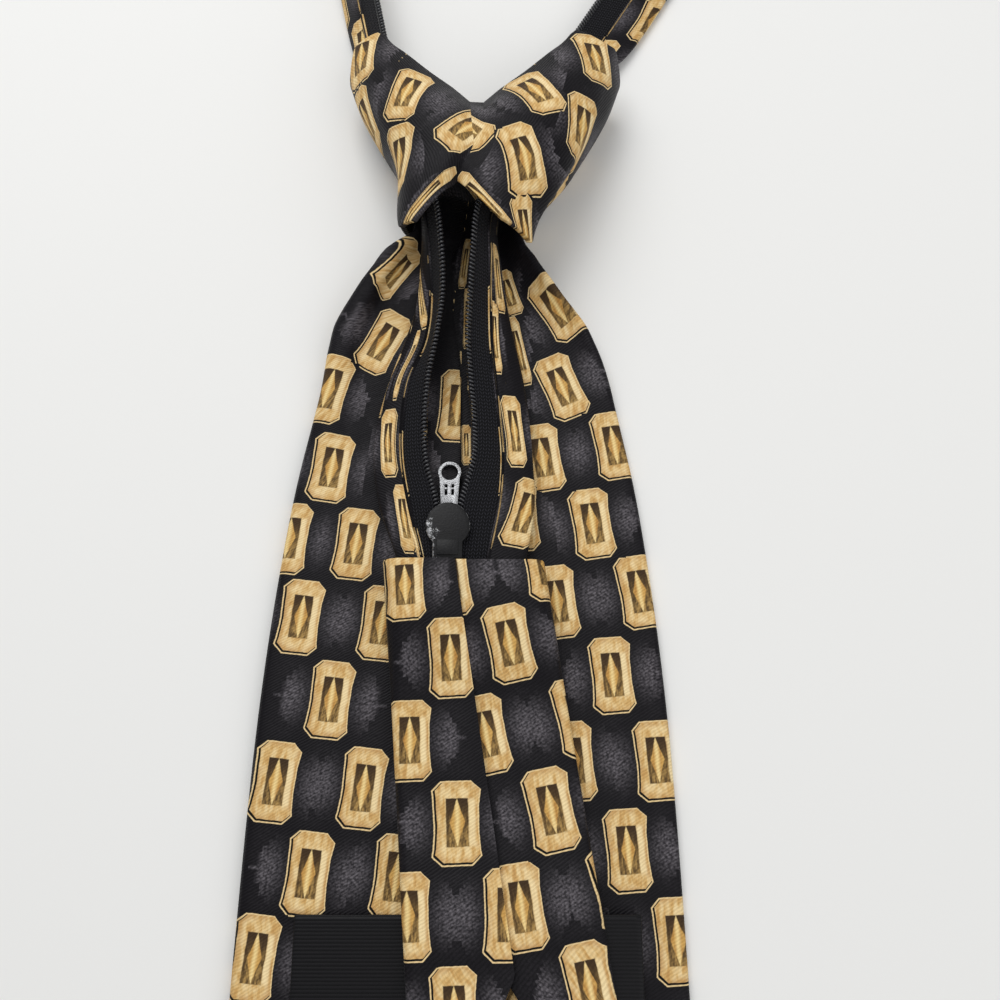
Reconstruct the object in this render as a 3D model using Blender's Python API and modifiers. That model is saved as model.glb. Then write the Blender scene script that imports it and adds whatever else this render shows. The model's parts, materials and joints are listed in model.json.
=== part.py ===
"""A ready-tied zipper tie, lying on its front with its back up, in metres, +Z up.

The blade's flat front lies on z = 0. +Y runs from the blade's point to the neck loop.
The origin is on the floor, on the blade's centre line, MOUTH_Y short of the knot's mouth.
"""

import math

import bmesh
import bpy
from mathutils import Vector

# Cloth and clearance
GAP = 0.0003
CLOTH = 0.0010

# Blade: the wide front of the tie, folded over at both sides
BLADE_LENGTH = 0.441
BLADE_WIDTH = 0.100
BLADE_FILL = 0.0004
BLADE_OVERLAP = 0.012
BLADE_OPENING = 0.100
HEM_FOLD = 0.0035
GATHER_RISE = 0.0070
GATHER_LENGTH = 0.056

# Knot: a hollow wrap whose mouth lets the blade and the bands out
MOUTH_Y = 0.060
MOUTH_WIDTH = 0.0325
KNOT_TOP_WIDTH = 0.069
KNOT_LENGTH = 0.052
KNOT_HEIGHT = 0.0270
KNOT_WALL = 0.0015
KNOT_SWAY = 0.0042
KNOT_SEAM_X = -0.0018
KNOT_ROUND = 0.72
EAR_SHARE = 0.72
SEAM_HOLLOW = 0.0022
EAR_RISE = 0.0250
MOUTH_PEAK = 0.0105

# Tail: the short narrow end that lies on the blade's back
HEM_DROP = 0.0827
TAIL_LENGTH = 0.136
TAIL_WIDTH = 0.042
TAIL_TOP_WIDTH = 0.0345
TAIL_OPENING = 0.057
TAIL_LEAN = 0.117
TAIL_FILL = 0.0004
TAIL_OVERLAP = 0.008

# Label: a plain ribbon across the blade's back, under the tail
LABEL_WIDTH = 0.0700
LABEL_HEIGHT = 0.0280
LABEL_DROP = 0.1550

# Neck bands, zip tapes and coils
BAND_THICKNESS = 0.0020
TAPE_THICKNESS = 0.0007
COIL_RADIUS = 0.00085
LEG_BAND = 0.0085
LEG_TAPE = 0.0055
LOOP_RADIUS = 0.0726
LOOP_CENTRE_X = 0.0290
LOOP_CENTRE_DROP = 0.2130
LOOP_ROLL = math.radians(58.0)
LEG_BOW = 0.0050

# Slider and pull tab
SLIDER_WIDTH = 0.0098
SLIDER_REAR_WIDTH = 0.0066
SLIDER_LENGTH = 0.0128
SLIDER_X = -0.0035
PLATE = 0.0007
THROAT_OFFSET = 0.0028
CROWN = 0.0006
TAB_THICKNESS = 0.0009
TAB_LENGTH = 0.0128
TAB_RING_RADIUS = 0.00265
TAB_HOLE_RADIUS = 0.00190
TAB_REST = math.radians(-4.0)

# Levels that follow from the sizes above
BLADE_TOP = 3 * CLOTH + BLADE_FILL + GAP
CROWN_Z = BLADE_TOP + GAP
TAB_Z = CROWN_Z + CROWN + GAP + TAB_THICKNESS / 2
LOWER_PLATE_Z = TAB_Z + TAB_THICKNESS / 2 + GAP
COIL_Z = LOWER_PLATE_Z + PLATE + GAP + COIL_RADIUS
UPPER_PLATE_Z = COIL_Z + COIL_RADIUS + GAP
ZIP_LIFT = COIL_Z - BLADE_TOP
ROW_OFFSET = COIL_RADIUS + GAP
HEM_Y = MOUTH_Y - HEM_DROP
SLIDER_REAR_Y = HEM_Y + GAP
SLIDER_NOSE_Y = SLIDER_REAR_Y + SLIDER_LENGTH
TAB_AXLE_Y = SLIDER_NOSE_Y - 0.0016

# How far the blade spreads on its way down from the mouth:
# drop as a share of BLADE_LENGTH, spread as a share of the way to BLADE_WIDTH
BLADE_SPREAD = (
    (-0.034, -0.100),
    (0.0125, -0.090),
    (0.0193, 0.060),
    (0.0304, 0.165),
    (0.0413, 0.280),
    (0.0522, 0.370),
    (0.0628, 0.440),
    (0.0741, 0.490),
    (0.0971, 0.545),
    (0.142, 0.655),
    (0.185, 0.728),
    (0.230, 0.785),
    (0.278, 0.825),
    (0.345, 0.855),
    (0.450, 0.885),
    (0.650, 0.940),
    (0.887, 0.985),
)

# The knot from its mouth to its top: share of the length, share of the widening, share of KNOT_HEIGHT
KNOT_PROFILE = (
    (0.00, 0.00, 0.94),
    (0.12, 0.07, 0.99),
    (0.32, 0.29, 1.00),
    (0.53, 0.56, 0.97),
    (0.75, 0.81, 0.86),
    (1.00, 1.00, 0.66),
)

# Both bands from inside the tail, up through the open zip and the knot.
# Drop below the mouth as a share of HEM_DROP, then the coil's, the seam's and the outer edge's
# place across as shares of half of TAIL_WIDTH, and their lift over the blade as shares of ZIP_LIFT.
# In the first three rows the coils lie in the slider, each its own offset from SLIDER_X.
LEFT_BAND = (
    (1.120, None, -0.395, -0.660, 1.00, 0.92, 0.64),
    (1.000, None, -0.400, -0.690, 1.00, 0.92, 0.64),
    (0.840, None, -0.560, -0.905, 1.00, 0.86, 0.42),
    (0.710, -0.420, -0.655, -0.990, 1.12, 0.80, 0.36),
    (0.600, -0.443, -0.662, -0.960, 1.30, 0.84, 0.36),
    (0.480, -0.405, -0.600, -0.850, 1.70, 0.96, 0.36),
    (0.365, -0.315, -0.420, -0.700, 2.20, 1.12, 0.40),
    (0.250, -0.255, -0.360, -0.560, 2.55, 1.40, 0.50),
    (0.130, -0.262, -0.380, -0.500, 3.00, 1.85, 0.70),
    (0.000, -0.325, -0.430, -0.480, 3.30, 2.15, 0.80),
    (-0.180, -0.490, -0.580, -0.610, 4.50, 3.30, 2.50),
    (-0.370, -0.730, -0.850, -0.910, 3.90, 2.70, 1.50),
    (-0.560, -0.940, -1.060, -1.150, 3.15, 2.05, 1.00),
    (-0.720, -1.080, -1.260, -1.480, 2.95, 1.80, 0.40),
)
RIGHT_BAND = (
    (1.120, None, 0.180, 0.600, 1.00, 0.92, 0.64),
    (1.000, None, 0.230, 0.650, 1.00, 0.92, 0.64),
    (0.840, None, 0.345, 0.740, 1.00, 0.86, 0.42),
    (0.710, 0.095, 0.380, 0.730, 1.05, 0.80, 0.36),
    (0.600, 0.100, 0.350, 0.700, 1.12, 0.84, 0.36),
    (0.480, 0.060, 0.300, 0.640, 1.40, 0.96, 0.36),
    (0.365, 0.030, 0.250, 0.540, 1.90, 1.15, 0.40),
    (0.250, 0.050, 0.235, 0.450, 2.35, 1.46, 0.50),
    (0.130, 0.080, 0.235, 0.370, 2.90, 1.90, 0.70),
    (0.000, 0.140, 0.250, 0.330, 3.30, 2.15, 0.80),
    (-0.180, 0.380, 0.490, 0.550, 4.50, 3.40, 2.60),
    (-0.370, 0.720, 0.880, 1.020, 3.40, 2.45, 1.45),
    (-0.560, 0.980, 1.230, 1.450, 2.25, 1.50, 1.10),
    (-0.720, 1.300, 1.640, 2.060, 1.30, 0.75, 0.30),
)

CHARCOAL = (0.020, 0.018, 0.024)
BLACK = (0.008, 0.008, 0.009)
NICKEL = (0.55, 0.56, 0.57)


def clear_scene():
    for old in list(bpy.data.objects):
        bpy.data.objects.remove(old, do_unlink=True)


def material(name, colour, roughness, metallic=0.0):
    made = bpy.data.materials.new(name)
    made.use_nodes = True
    shader = made.node_tree.nodes["Principled BSDF"]
    shader.inputs["Base Color"].default_value = (*colour, 1.0)
    shader.inputs["Roughness"].default_value = roughness
    shader.inputs["Metallic"].default_value = metallic
    return made


def collection(name):
    made = bpy.data.collections.new(name)
    bpy.context.scene.collection.children.link(made)
    return made


def table_value(rows, x, column):
    """A column of a table at x, on smooth curves through its rows and level past its ends."""
    if x <= rows[0][0]:
        return rows[0][column]
    if x >= rows[-1][0]:
        return rows[-1][column]
    k = next(i for i in range(len(rows) - 1) if rows[i + 1][0] >= x)

    def slope(i):
        low, high = max(i - 1, 0), min(i + 1, len(rows) - 1)
        return (rows[high][column] - rows[low][column]) / (rows[high][0] - rows[low][0])

    step = rows[k + 1][0] - rows[k][0]
    t = (x - rows[k][0]) / step
    start, end = rows[k][column], rows[k + 1][column]
    return (
        start * (1 + 2 * t) * (1 - t) ** 2
        + end * t * t * (3 - 2 * t)
        + slope(k) * step * t * (1 - t) ** 2
        + slope(k + 1) * step * t * t * (t - 1)
    )


def ease(t):
    t = min(max(t, 0.0), 1.0)
    return t * t * (3 - 2 * t)


def mix(a, b, t):
    return a + (b - a) * t


def curve_through(points, steps):
    """A smooth curve through the given points, with the same number of steps between each two."""
    curve = []
    last = len(points) - 1
    for i in range(last):
        before, a, b, after = points[max(i - 1, 0)], points[i], points[i + 1], points[min(i + 2, last)]
        for step in range(steps):
            t = step / steps
            bend = 2 * before - 5 * a + 4 * b - after
            twist = 3 * a - before - 3 * b + after
            curve.append(0.5 * (2 * a + (b - before) * t + bend * t * t + twist * t ** 3))
    curve.append(points[-1])
    return curve


def cloth_object(name, rows, wall, finish, group, ring=False):
    """A sheet through rows of points, given a wall's thickness; a ring's rows close on themselves."""
    mesh = bmesh.new()
    grid = [[mesh.verts.new(point) for point in row] for row in rows]
    across = len(rows[0])
    for low, high in zip(grid, grid[1:]):
        for i in range(across if ring else across - 1):
            j = (i + 1) % across
            mesh.faces.new((low[i], low[j], high[j], high[i]))
    data = bpy.data.meshes.new(name)
    mesh.to_mesh(data)
    mesh.free()
    piece = bpy.data.objects.new(name, data)
    group.objects.link(piece)
    data.materials.append(finish)
    data.shade_smooth()
    solidify = piece.modifiers.new("wall", "SOLIDIFY")
    solidify.thickness = wall
    solidify.offset = 0.0
    solidify.use_even_offset = False
    return piece


def blade_half_width(y):
    drop = (MOUTH_Y - y) / BLADE_LENGTH
    spread = table_value(BLADE_SPREAD, drop, 1)
    half = mix(MOUTH_WIDTH, BLADE_WIDTH, spread) / 2
    to_tip = y - (MOUTH_Y - BLADE_LENGTH)
    return min(half, max(to_tip, 0.0) + HEM_FOLD / 2)


def gather(y):
    """How strongly the blade is gathered at y, from 1 at the mouth to 0 on the flat."""
    return ease(1 - (MOUTH_Y - y) / GATHER_LENGTH)


def blade_base(y):
    """The front wall lifts to pass over the knot's front wall."""
    return (KNOT_WALL + GAP) * ease(1 - (MOUTH_Y - 0.002 - y) / 0.022)


def blade_bend(u, y):
    """Height and slope of the gathered section's middle line at u across."""
    share = u / blade_half_width(y)
    rise = GATHER_RISE * gather(y)
    pleat = 0.0007 * gather(y)
    waves = 3 * math.pi
    height = blade_base(y) + rise * share ** 4 + pleat * (1 - math.cos(waves * share)) / 2 * (1 - share ** 2)
    slope = 4 * rise * share ** 3 / blade_half_width(y)
    return height, slope


def blade_back(x, y):
    """Height of the blade's back surface, without its pleats."""
    height, slope = blade_bend(min(max(x, -blade_half_width(y)), blade_half_width(y)), y)
    return height + BLADE_TOP * math.sqrt(1 + slope * slope)


def folded_section(half, fill, inner_right, inner_left):
    """Points (across, up) of a sheet folded over at both sides, from its right end to its left end."""
    front = CLOTH / 2
    right = front + CLOTH + fill
    left = right + CLOTH + GAP
    points = []
    right_round = (right - front) / 2
    left_round = (left - front) / 2
    for i in range(4):
        points.append((mix(inner_right, half - right_round, i / 3), right))
    for i in range(1, 5):
        turn = math.pi / 2 - math.pi * i / 5
        points.append((half - right_round * (1 - math.cos(turn)), front + right_round * (1 + math.sin(turn))))
    for i in range(9):
        points.append((mix(half - right_round, -half + left_round, i / 8), front))
    for i in range(1, 5):
        turn = -math.pi / 2 - math.pi * i / 5
        points.append((-half + left_round * (1 + math.cos(turn)), front + left_round * (1 + math.sin(turn))))
    for i in range(4):
        points.append((mix(-half + left_round, inner_left, i / 3), left))
    return points


def opening_share(y, apex, corner):
    """0 above a pointed end's opening, 1 from its corners down."""
    return min(max((apex - y) / (apex - corner), 0.0), 1.0)


def spread_ends(half, overlap, share):
    """Where the two back folds end, either side of the seam, as the opening widens."""
    edge = max(half - HEM_FOLD, half * 0.35)
    return mix(-overlap / 2, edge, share), mix(overlap / 2, -edge, share)


def blade_sections():
    tip = MOUTH_Y - BLADE_LENGTH
    corner = tip + BLADE_WIDTH / 2
    near = [MOUTH_Y + 0.011, MOUTH_Y + 0.002]
    near += [MOUTH_Y - BLADE_LENGTH * share for share in (0.0125, 0.0193, 0.0304)]
    near += [MOUTH_Y - GATHER_LENGTH * share for share in (0.34, 0.46, 0.60, 0.78, 1.0)]
    middle = [MOUTH_Y - BLADE_LENGTH * share for share in (0.160, 0.200, 0.250, 0.320, 0.430)]
    middle.append(corner + BLADE_OPENING)
    lower = [mix(corner + BLADE_OPENING, corner, i / 4) for i in range(1, 5)]
    point = [mix(corner, tip + 0.001, i / 5) for i in range(1, 6)]
    rows = []
    for y in near + middle + lower + point:
        half = blade_half_width(y)
        share = opening_share(y, corner + BLADE_OPENING, corner)
        overlap = min(BLADE_OVERLAP, half)
        inner_right, inner_left = spread_ends(half, overlap, share)
        row = []
        for u, d in folded_section(half, BLADE_FILL, inner_right, inner_left):
            height, slope = blade_bend(u, y)
            length = math.hypot(1, slope)
            row.append(Vector((u - d * slope / length, y, height + d / length)))
        rows.append(row)
    return rows


def make_blade(finish, group):
    cloth_object("blade", blade_sections(), CLOTH, finish, group)


def lining_rows(apex, corner, tip, half_at, centre_at, overlap, level, steps):
    """A flat panel that fills a pointed end's opening, just inside its folds."""
    rows = []
    start = 0.001
    edge = half_at(apex) - HEM_FOLD
    share = (overlap / 2 + start) / (overlap / 2 + edge)
    top = mix(apex, corner, share * 1.1)
    bottom = tip + HEM_FOLD * 2.2
    for i in range(steps + 1):
        y = mix(top, bottom, i / steps)
        inner = spread_ends(half_at(y), overlap, opening_share(y, apex, corner))[0]
        reach = inner - 3 * GAP
        rows.append([Vector((centre_at(y) + reach * side, y, level(y))) for side in (1.0, 0.5, 0.0, -0.5, -1.0)])
    return rows


def make_blade_lining(finish, group):
    tip = MOUTH_Y - BLADE_LENGTH
    corner = tip + BLADE_WIDTH / 2
    level = CLOTH + GAP + CLOTH / 2
    rows = lining_rows(
        corner + BLADE_OPENING, corner, tip, blade_half_width, lambda y: 0.0, BLADE_OVERLAP, lambda y: level, 12
    )
    cloth_object("blade_lining", rows, CLOTH, finish, group)


def tail_half_width(y):
    tip = HEM_Y - TAIL_LENGTH
    corner = tip + TAIL_WIDTH / 2
    half = mix(TAIL_TOP_WIDTH, TAIL_WIDTH, min((HEM_Y - y) / (HEM_Y - corner), 1.0)) / 2
    return min(half, max(y - tip, 0.0) + HEM_FOLD / 2)


def tail_centre(y):
    return (HEM_Y - y) * TAIL_LEAN


def label_bump(y):
    """1 over the label, easing to 0 past both its edges."""
    top = MOUTH_Y - LABEL_DROP
    middle = top - LABEL_HEIGHT / 2
    away = abs(y - middle) - LABEL_HEIGHT / 2 - 0.002
    return ease(1 - away / 0.015)


def tail_base(y):
    return BLADE_TOP + GAP + (CLOTH + GAP) * label_bump(y)


def tail_fill(y):
    """Room between the tail's walls: the zip and the bands need it below the hem."""
    zip_room = COIL_Z + COIL_RADIUS + GAP - (BLADE_TOP + GAP + CLOTH)
    inside = (LEFT_BAND[0][0] - 1) * HEM_DROP + GAP
    return mix(TAIL_FILL, zip_room, ease(1 - (HEM_Y - inside - y) / 0.022))


def tail_sections():
    tip = HEM_Y - TAIL_LENGTH
    corner = tip + TAIL_WIDTH / 2
    apex = corner + TAIL_OPENING * 0.65
    ys = [HEM_Y - share * (HEM_Y - apex) for share in (0.0, 0.07, 0.15, 0.24, 0.34, 0.46, 0.6, 0.7, 0.8, 0.9, 1.0)]
    ys += [mix(apex, corner, i / 4) for i in range(1, 5)]
    ys += [mix(corner, tip + 0.001, i / 4) for i in range(1, 5)]
    rows = []
    for y in ys:
        half = tail_half_width(y)
        inner_right, inner_left = spread_ends(half, min(TAIL_OVERLAP, half), opening_share(y, apex, corner))
        base = tail_base(y)
        section = folded_section(half, tail_fill(y), inner_right, inner_left)
        rows.append([Vector((tail_centre(y) + u, y, base + d)) for u, d in section])
    return rows


def make_tail(finish, group):
    cloth_object("tail", tail_sections(), CLOTH, finish, group)


def make_tail_lining(finish, group):
    tip = HEM_Y - TAIL_LENGTH
    corner = tip + TAIL_WIDTH / 2
    apex = corner + TAIL_OPENING * 0.65
    level = CLOTH * 1.5 + GAP
    rows = lining_rows(
        apex, corner, tip, tail_half_width, tail_centre, TAIL_OVERLAP, lambda y: tail_base(y) + level, 10
    )
    cloth_object("tail_lining", rows, CLOTH, finish, group)


def make_label(finish, group):
    top = MOUTH_Y - LABEL_DROP
    level = BLADE_TOP + GAP + CLOTH / 2
    rows = []
    for y in (top, top - LABEL_HEIGHT / 2, top - LABEL_HEIGHT):
        rows.append([Vector((mix(-0.5, 0.5, i / 6) * LABEL_WIDTH + 0.0015, y, level)) for i in range(7)])
    cloth_object("label_loop", rows, CLOTH, finish, group)


def knot_across(turn, half):
    """How far across the knot's rounded section a turn lies."""
    return half * math.copysign(abs(math.cos(turn)) ** KNOT_ROUND, math.cos(turn))


def knot_point(turn, share):
    """A point on the knot's wall, turn round it from its right side and share up from its mouth."""
    up = math.sin(turn)
    back = ease(up * 3)
    from_seam = abs(knot_across(turn, MOUTH_WIDTH / 2) - KNOT_SEAM_X) / (MOUTH_WIDTH / 2)
    mouth = MOUTH_Y + MOUTH_PEAK * (0.55 - min(from_seam, 0.92)) * ease(up * 2 + 1)
    from_notch = abs(knot_across(turn, KNOT_TOP_WIDTH / 2) - KNOT_SEAM_X) / (KNOT_TOP_WIDTH / 2)
    ear = min(from_notch / EAR_SHARE, 1.0)
    side = ease((from_notch - EAR_SHARE) / (1 - EAR_SHARE))
    front_top = MOUTH_Y + KNOT_LENGTH - EAR_RISE * 0.40
    back_top = MOUTH_Y + KNOT_LENGTH - EAR_RISE * (1 - ear) - EAR_RISE * 0.10 * side
    y = mix(mouth, mix(front_top, back_top, back), share)
    level = table_value(KNOT_PROFILE, share, 2) * KNOT_HEIGHT
    half = mix(MOUTH_WIDTH, KNOT_TOP_WIDTH, table_value(KNOT_PROFILE, share, 1)) / 2 - KNOT_WALL / 2
    x = knot_across(turn, half)
    bottom = KNOT_WALL / 2
    reach = level / 2 - bottom
    z = level / 2 + reach * math.copysign(abs(up) ** KNOT_ROUND, up)
    groove = KNOT_WALL * math.exp(-(((x - KNOT_SEAM_X) / SEAM_HOLLOW) ** 2)) * back
    return Vector((x + KNOT_SWAY * ease(share / 0.35), y, z - groove))


def make_knot(finish, group):
    rows = []
    around, along = 36, 10
    for j in range(along + 1):
        share = j / along
        rows.append([knot_point(2 * math.pi * i / around, share) for i in range(around)])
    cloth_object("knot", rows, KNOT_WALL, finish, group, ring=True)


def band_stations(table, side):
    """Coil, seam and outer edge through the open zip and the knot, then round the neck loop."""
    stations = []
    half = TAIL_WIDTH / 2
    in_slider = [SLIDER_X + side * offset for offset in (ROW_OFFSET, ROW_OFFSET, THROAT_OFFSET)]
    for i, row in enumerate(table):
        y = MOUTH_Y - row[0] * HEM_DROP
        coil_x = in_slider[i] if row[1] is None else row[1] * half
        station = []
        for x, up in zip((coil_x, row[2] * half, row[3] * half), row[4:7]):
            rest = blade_back(x, y) if y <= MOUTH_Y else 0.0
            station.append(Vector((x, y, rest + up * ZIP_LIFT)))
        stations.append(station)
    loop = loop_stations(side)
    leg = loop[0][2] - stations[-1][2]
    outward = Vector((-leg.y, leg.x, 0)).normalized() * -side * LEG_BOW
    for share in (1 / 3, 2 / 3):
        stations.append([a.lerp(b, share) + outward for a, b in zip(stations[len(table) - 1], loop[0])])
    return stations + loop


def loop_stations(side):
    """Stations round half of the neck loop, which stands on its outer edge, to the back of the neck."""
    centre = Vector((LOOP_CENTRE_X, MOUTH_Y + LOOP_CENTRE_DROP, 0))
    first, roll_first = (math.radians(186), LOOP_ROLL) if side < 0 else (math.radians(-27), LOOP_ROLL / 2)
    back = math.radians(80)
    end = back + GAP / LOOP_RADIUS if side < 0 else back
    stations = []
    for i in range(7):
        share = i / 6
        angle = mix(first, end, share)
        roll = mix(roll_first, LOOP_ROLL, ease(share * 1.6))
        out = Vector((math.cos(angle), math.sin(angle), 0))
        lean = -out * math.cos(roll) + Vector((0, 0, math.sin(roll)))
        outer = centre + out * LOOP_RADIUS + Vector((0, 0, BAND_THICKNESS * 0.6))
        stations.append([outer + lean * (LEG_BAND + LEG_TAPE), outer + lean * LEG_BAND, outer])
    return stations


def band_rails(table, side):
    stations = band_stations(table, side)
    return [curve_through([station[k] for station in stations], 3) for k in range(3)]


def ribbon(name, first, second, inset_first, inset_second, thickness, finish, group):
    """A flat strip between two rails, drawn in from each by an inset."""
    rows = []
    for a, b in zip(first, second):
        along = (b - a).normalized()
        start, end = a + along * inset_first, b - along * inset_second
        rows.append([start.lerp(end, share) for share in (0.0, 0.5, 1.0)])
    return cloth_object(name, rows, thickness, finish, group)


def make_band_side(name, table, side, finishes, group):
    coil, seam, outer = band_rails(table, side)
    ribbon(f"neck_band_{name}", seam, outer, GAP / 2, 0.0, BAND_THICKNESS, finishes["cloth"], group)
    tape_stop = COIL_RADIUS + GAP
    ribbon(f"zip_tape_{name}", coil, seam, tape_stop, GAP / 2, TAPE_THICKNESS, finishes["tape"], group)
    curve = bpy.data.curves.new(f"zip_coil_{name}", "CURVE")
    curve.dimensions = "3D"
    curve.bevel_depth = COIL_RADIUS
    curve.bevel_resolution = 2
    curve.use_fill_caps = True
    line = curve.splines.new("POLY")
    line.points.add(len(coil) - 1)
    for point, place in zip(line.points, coil):
        point.co = (*place, 1.0)
    curve.materials.append(finishes["coil"])
    group.objects.link(bpy.data.objects.new(f"zip_coil_{name}", curve))


def plate_outline(steps=7):
    """The slider's plate: a round nose, widest at its shoulders, then a straight narrow rear."""
    half, rear = SLIDER_WIDTH / 2, SLIDER_REAR_WIDTH / 2
    shoulder = SLIDER_NOSE_Y - SLIDER_LENGTH * 0.42
    waist = SLIDER_REAR_Y + SLIDER_LENGTH * 0.30
    right = [(rear, SLIDER_REAR_Y), (rear, waist)]
    for i in range(1, steps + 1):
        turn = math.pi / 2 * i / steps
        right.append((half * math.cos(turn) ** 0.9 if i < steps else 0.0,
                      shoulder + (SLIDER_NOSE_Y - shoulder) * math.sin(turn)))
    right.insert(2, (half, shoulder))
    left = [(-x, y) for x, y in reversed(right[:-1])]
    return right + left


def prism(name, outline, bottom, top, group, x=SLIDER_X):
    """A closed upright block on a flat outline."""
    mesh = bmesh.new()
    low = [mesh.verts.new((x + px, py, bottom)) for px, py in outline]
    face = mesh.faces.new(low)
    risen = bmesh.ops.extrude_face_region(mesh, geom=[face])["geom"]
    corners = [item for item in risen if isinstance(item, bmesh.types.BMVert)]
    bmesh.ops.translate(mesh, verts=corners, vec=(0, 0, top - bottom))
    bmesh.ops.recalc_face_normals(mesh, faces=mesh.faces)
    data = bpy.data.meshes.new(name)
    mesh.to_mesh(data)
    mesh.free()
    piece = bpy.data.objects.new(name, data)
    group.objects.link(piece)
    return piece


def box_outline(x_low, x_high, y_low, y_high):
    return [(x_low, y_low), (x_high, y_low), (x_high, y_high), (x_low, y_high)]


def join(piece, part):
    """Adds a part to a piece as one solid; the part stays as a guide."""
    union = piece.modifiers.new(part.name, "BOOLEAN")
    union.operation = "UNION"
    union.object = part
    part.hide_render = True
    part.display_type = "WIRE"


def make_slider(finish, group, guides):
    outline = plate_outline()
    body = prism("slider_body", outline, LOWER_PLATE_Z, LOWER_PLATE_Z + PLATE, group)
    body.data.materials.append(finish)
    join(body, prism("slider_upper_plate", outline, UPPER_PLATE_Z, UPPER_PLATE_Z + PLATE, guides))
    divider = [(-0.0008, SLIDER_NOSE_Y - 0.0012), (0, SLIDER_NOSE_Y - 0.0042), (0.0008, SLIDER_NOSE_Y - 0.0012)]
    overlap = PLATE / 2
    join(body, prism("slider_divider", divider, LOWER_PLATE_Z + overlap, UPPER_PLATE_Z + overlap, guides))
    rear = SLIDER_REAR_WIDTH / 2
    rail_top = SLIDER_REAR_Y + SLIDER_LENGTH * 0.30
    rail = 0.0006
    slot = TAPE_THICKNESS / 2 + GAP
    for side in (-1, 1):
        sides = sorted((side * rear, side * (rear - rail)))
        edge = box_outline(sides[0], sides[1], SLIDER_REAR_Y, rail_top)
        name = "left" if side < 0 else "right"
        join(body, prism(f"slider_lower_rail_{name}", edge, LOWER_PLATE_Z + overlap, COIL_Z - slot, guides))
        join(body, prism(f"slider_upper_rail_{name}", edge, COIL_Z + slot, UPPER_PLATE_Z + overlap, guides))
    panel = box_outline(-rear * 0.70, rear * 0.70, SLIDER_REAR_Y + 0.0008, rail_top - 0.0002)
    join(body, prism("slider_panel", panel, UPPER_PLATE_Z + overlap, UPPER_PLATE_Z + PLATE + 0.00025, guides))
    strap = 0.00055
    crown_front = TAB_AXLE_Y + TAB_THICKNESS / 2 + GAP
    crown_rear = TAB_AXLE_Y - TAB_THICKNESS / 2 - GAP
    foot = 0.0008
    long_way = box_outline(-strap, strap, crown_rear - foot, crown_front + foot)
    join(body, prism("crown_strap", long_way, CROWN_Z, CROWN_Z + CROWN, guides))
    lower = CROWN_Z + CROWN / 2
    upper = LOWER_PLATE_Z + overlap
    front = box_outline(-strap, strap, crown_front, crown_front + foot)
    behind = box_outline(-strap, strap, crown_rear - foot, crown_rear)
    join(body, prism("crown_front_foot", front, lower, upper, guides))
    join(body, prism("crown_rear_foot", behind, lower, upper, guides))


def make_pull_tab(finish, group):
    """A flat tab whose root bar turns behind the crown's front foot; it rests on the blade's back."""
    ring_y = TAB_LENGTH - TAB_RING_RADIUS
    root = TAB_THICKNESS / 2
    neck = 0.0018
    outline = [(-neck, -root), (neck, -root)]
    for i in range(13):
        turn = math.radians(-35 + 250 * i / 12)
        outline.append((TAB_RING_RADIUS * math.cos(turn), ring_y + TAB_RING_RADIUS * math.sin(turn)))
    window = box_outline(-0.00085, 0.00085, root, root + 0.0022)
    hole = []
    for i in range(20):
        turn = 2 * math.pi * i / 20
        hole.append((TAB_HOLE_RADIUS * math.cos(turn), ring_y + TAB_HOLE_RADIUS * math.sin(turn)))
    flat = bpy.data.curves.new("pull_tab", "CURVE")
    flat.dimensions = "2D"
    flat.fill_mode = "BOTH"
    flat.extrude = TAB_THICKNESS / 2
    for loop in (outline, hole, window):
        line = flat.splines.new("POLY")
        line.points.add(len(loop) - 1)
        line.use_cyclic_u = True
        for point, (x, y) in zip(line.points, loop):
            point.co = (x, y, 0.0, 1.0)
    flat.materials.append(finish)
    tab = bpy.data.objects.new("pull_tab", flat)
    tab.location = (SLIDER_X, TAB_AXLE_Y, TAB_Z)
    tab.rotation_euler = (TAB_REST, 0, 0)
    group.objects.link(tab)


def main():
    clear_scene()
    group = collection("zipper_tie")
    guides = collection("guides")
    finishes = {
        "cloth": material("printed_silk", CHARCOAL, 0.55),
        "lining": material("plain_lining", BLACK, 0.60),
        "tape": material("zip_tape", BLACK, 0.80),
        "coil": material("zip_coil", BLACK, 0.35),
    }
    make_blade(finishes["cloth"], group)
    make_blade_lining(finishes["lining"], group)
    make_tail(finishes["cloth"], group)
    make_tail_lining(finishes["lining"], group)
    make_label(finishes["lining"], group)
    make_knot(finishes["cloth"], group)
    make_band_side("left", LEFT_BAND, -1, finishes, group)
    make_band_side("right", RIGHT_BAND, 1, finishes, group)
    make_slider(material("painted_metal", BLACK, 0.4, 0.6), group, guides)
    make_pull_tab(material("worn_metal", NICKEL, 0.35, 1.0), group)


main()
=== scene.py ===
"""Dresses a ready-tied zipper tie in its printed silk, zip, slider and pull tab, in metres."""

import json
import math

import bmesh
import bpy
from mathutils import Matrix, Vector, noise

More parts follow.
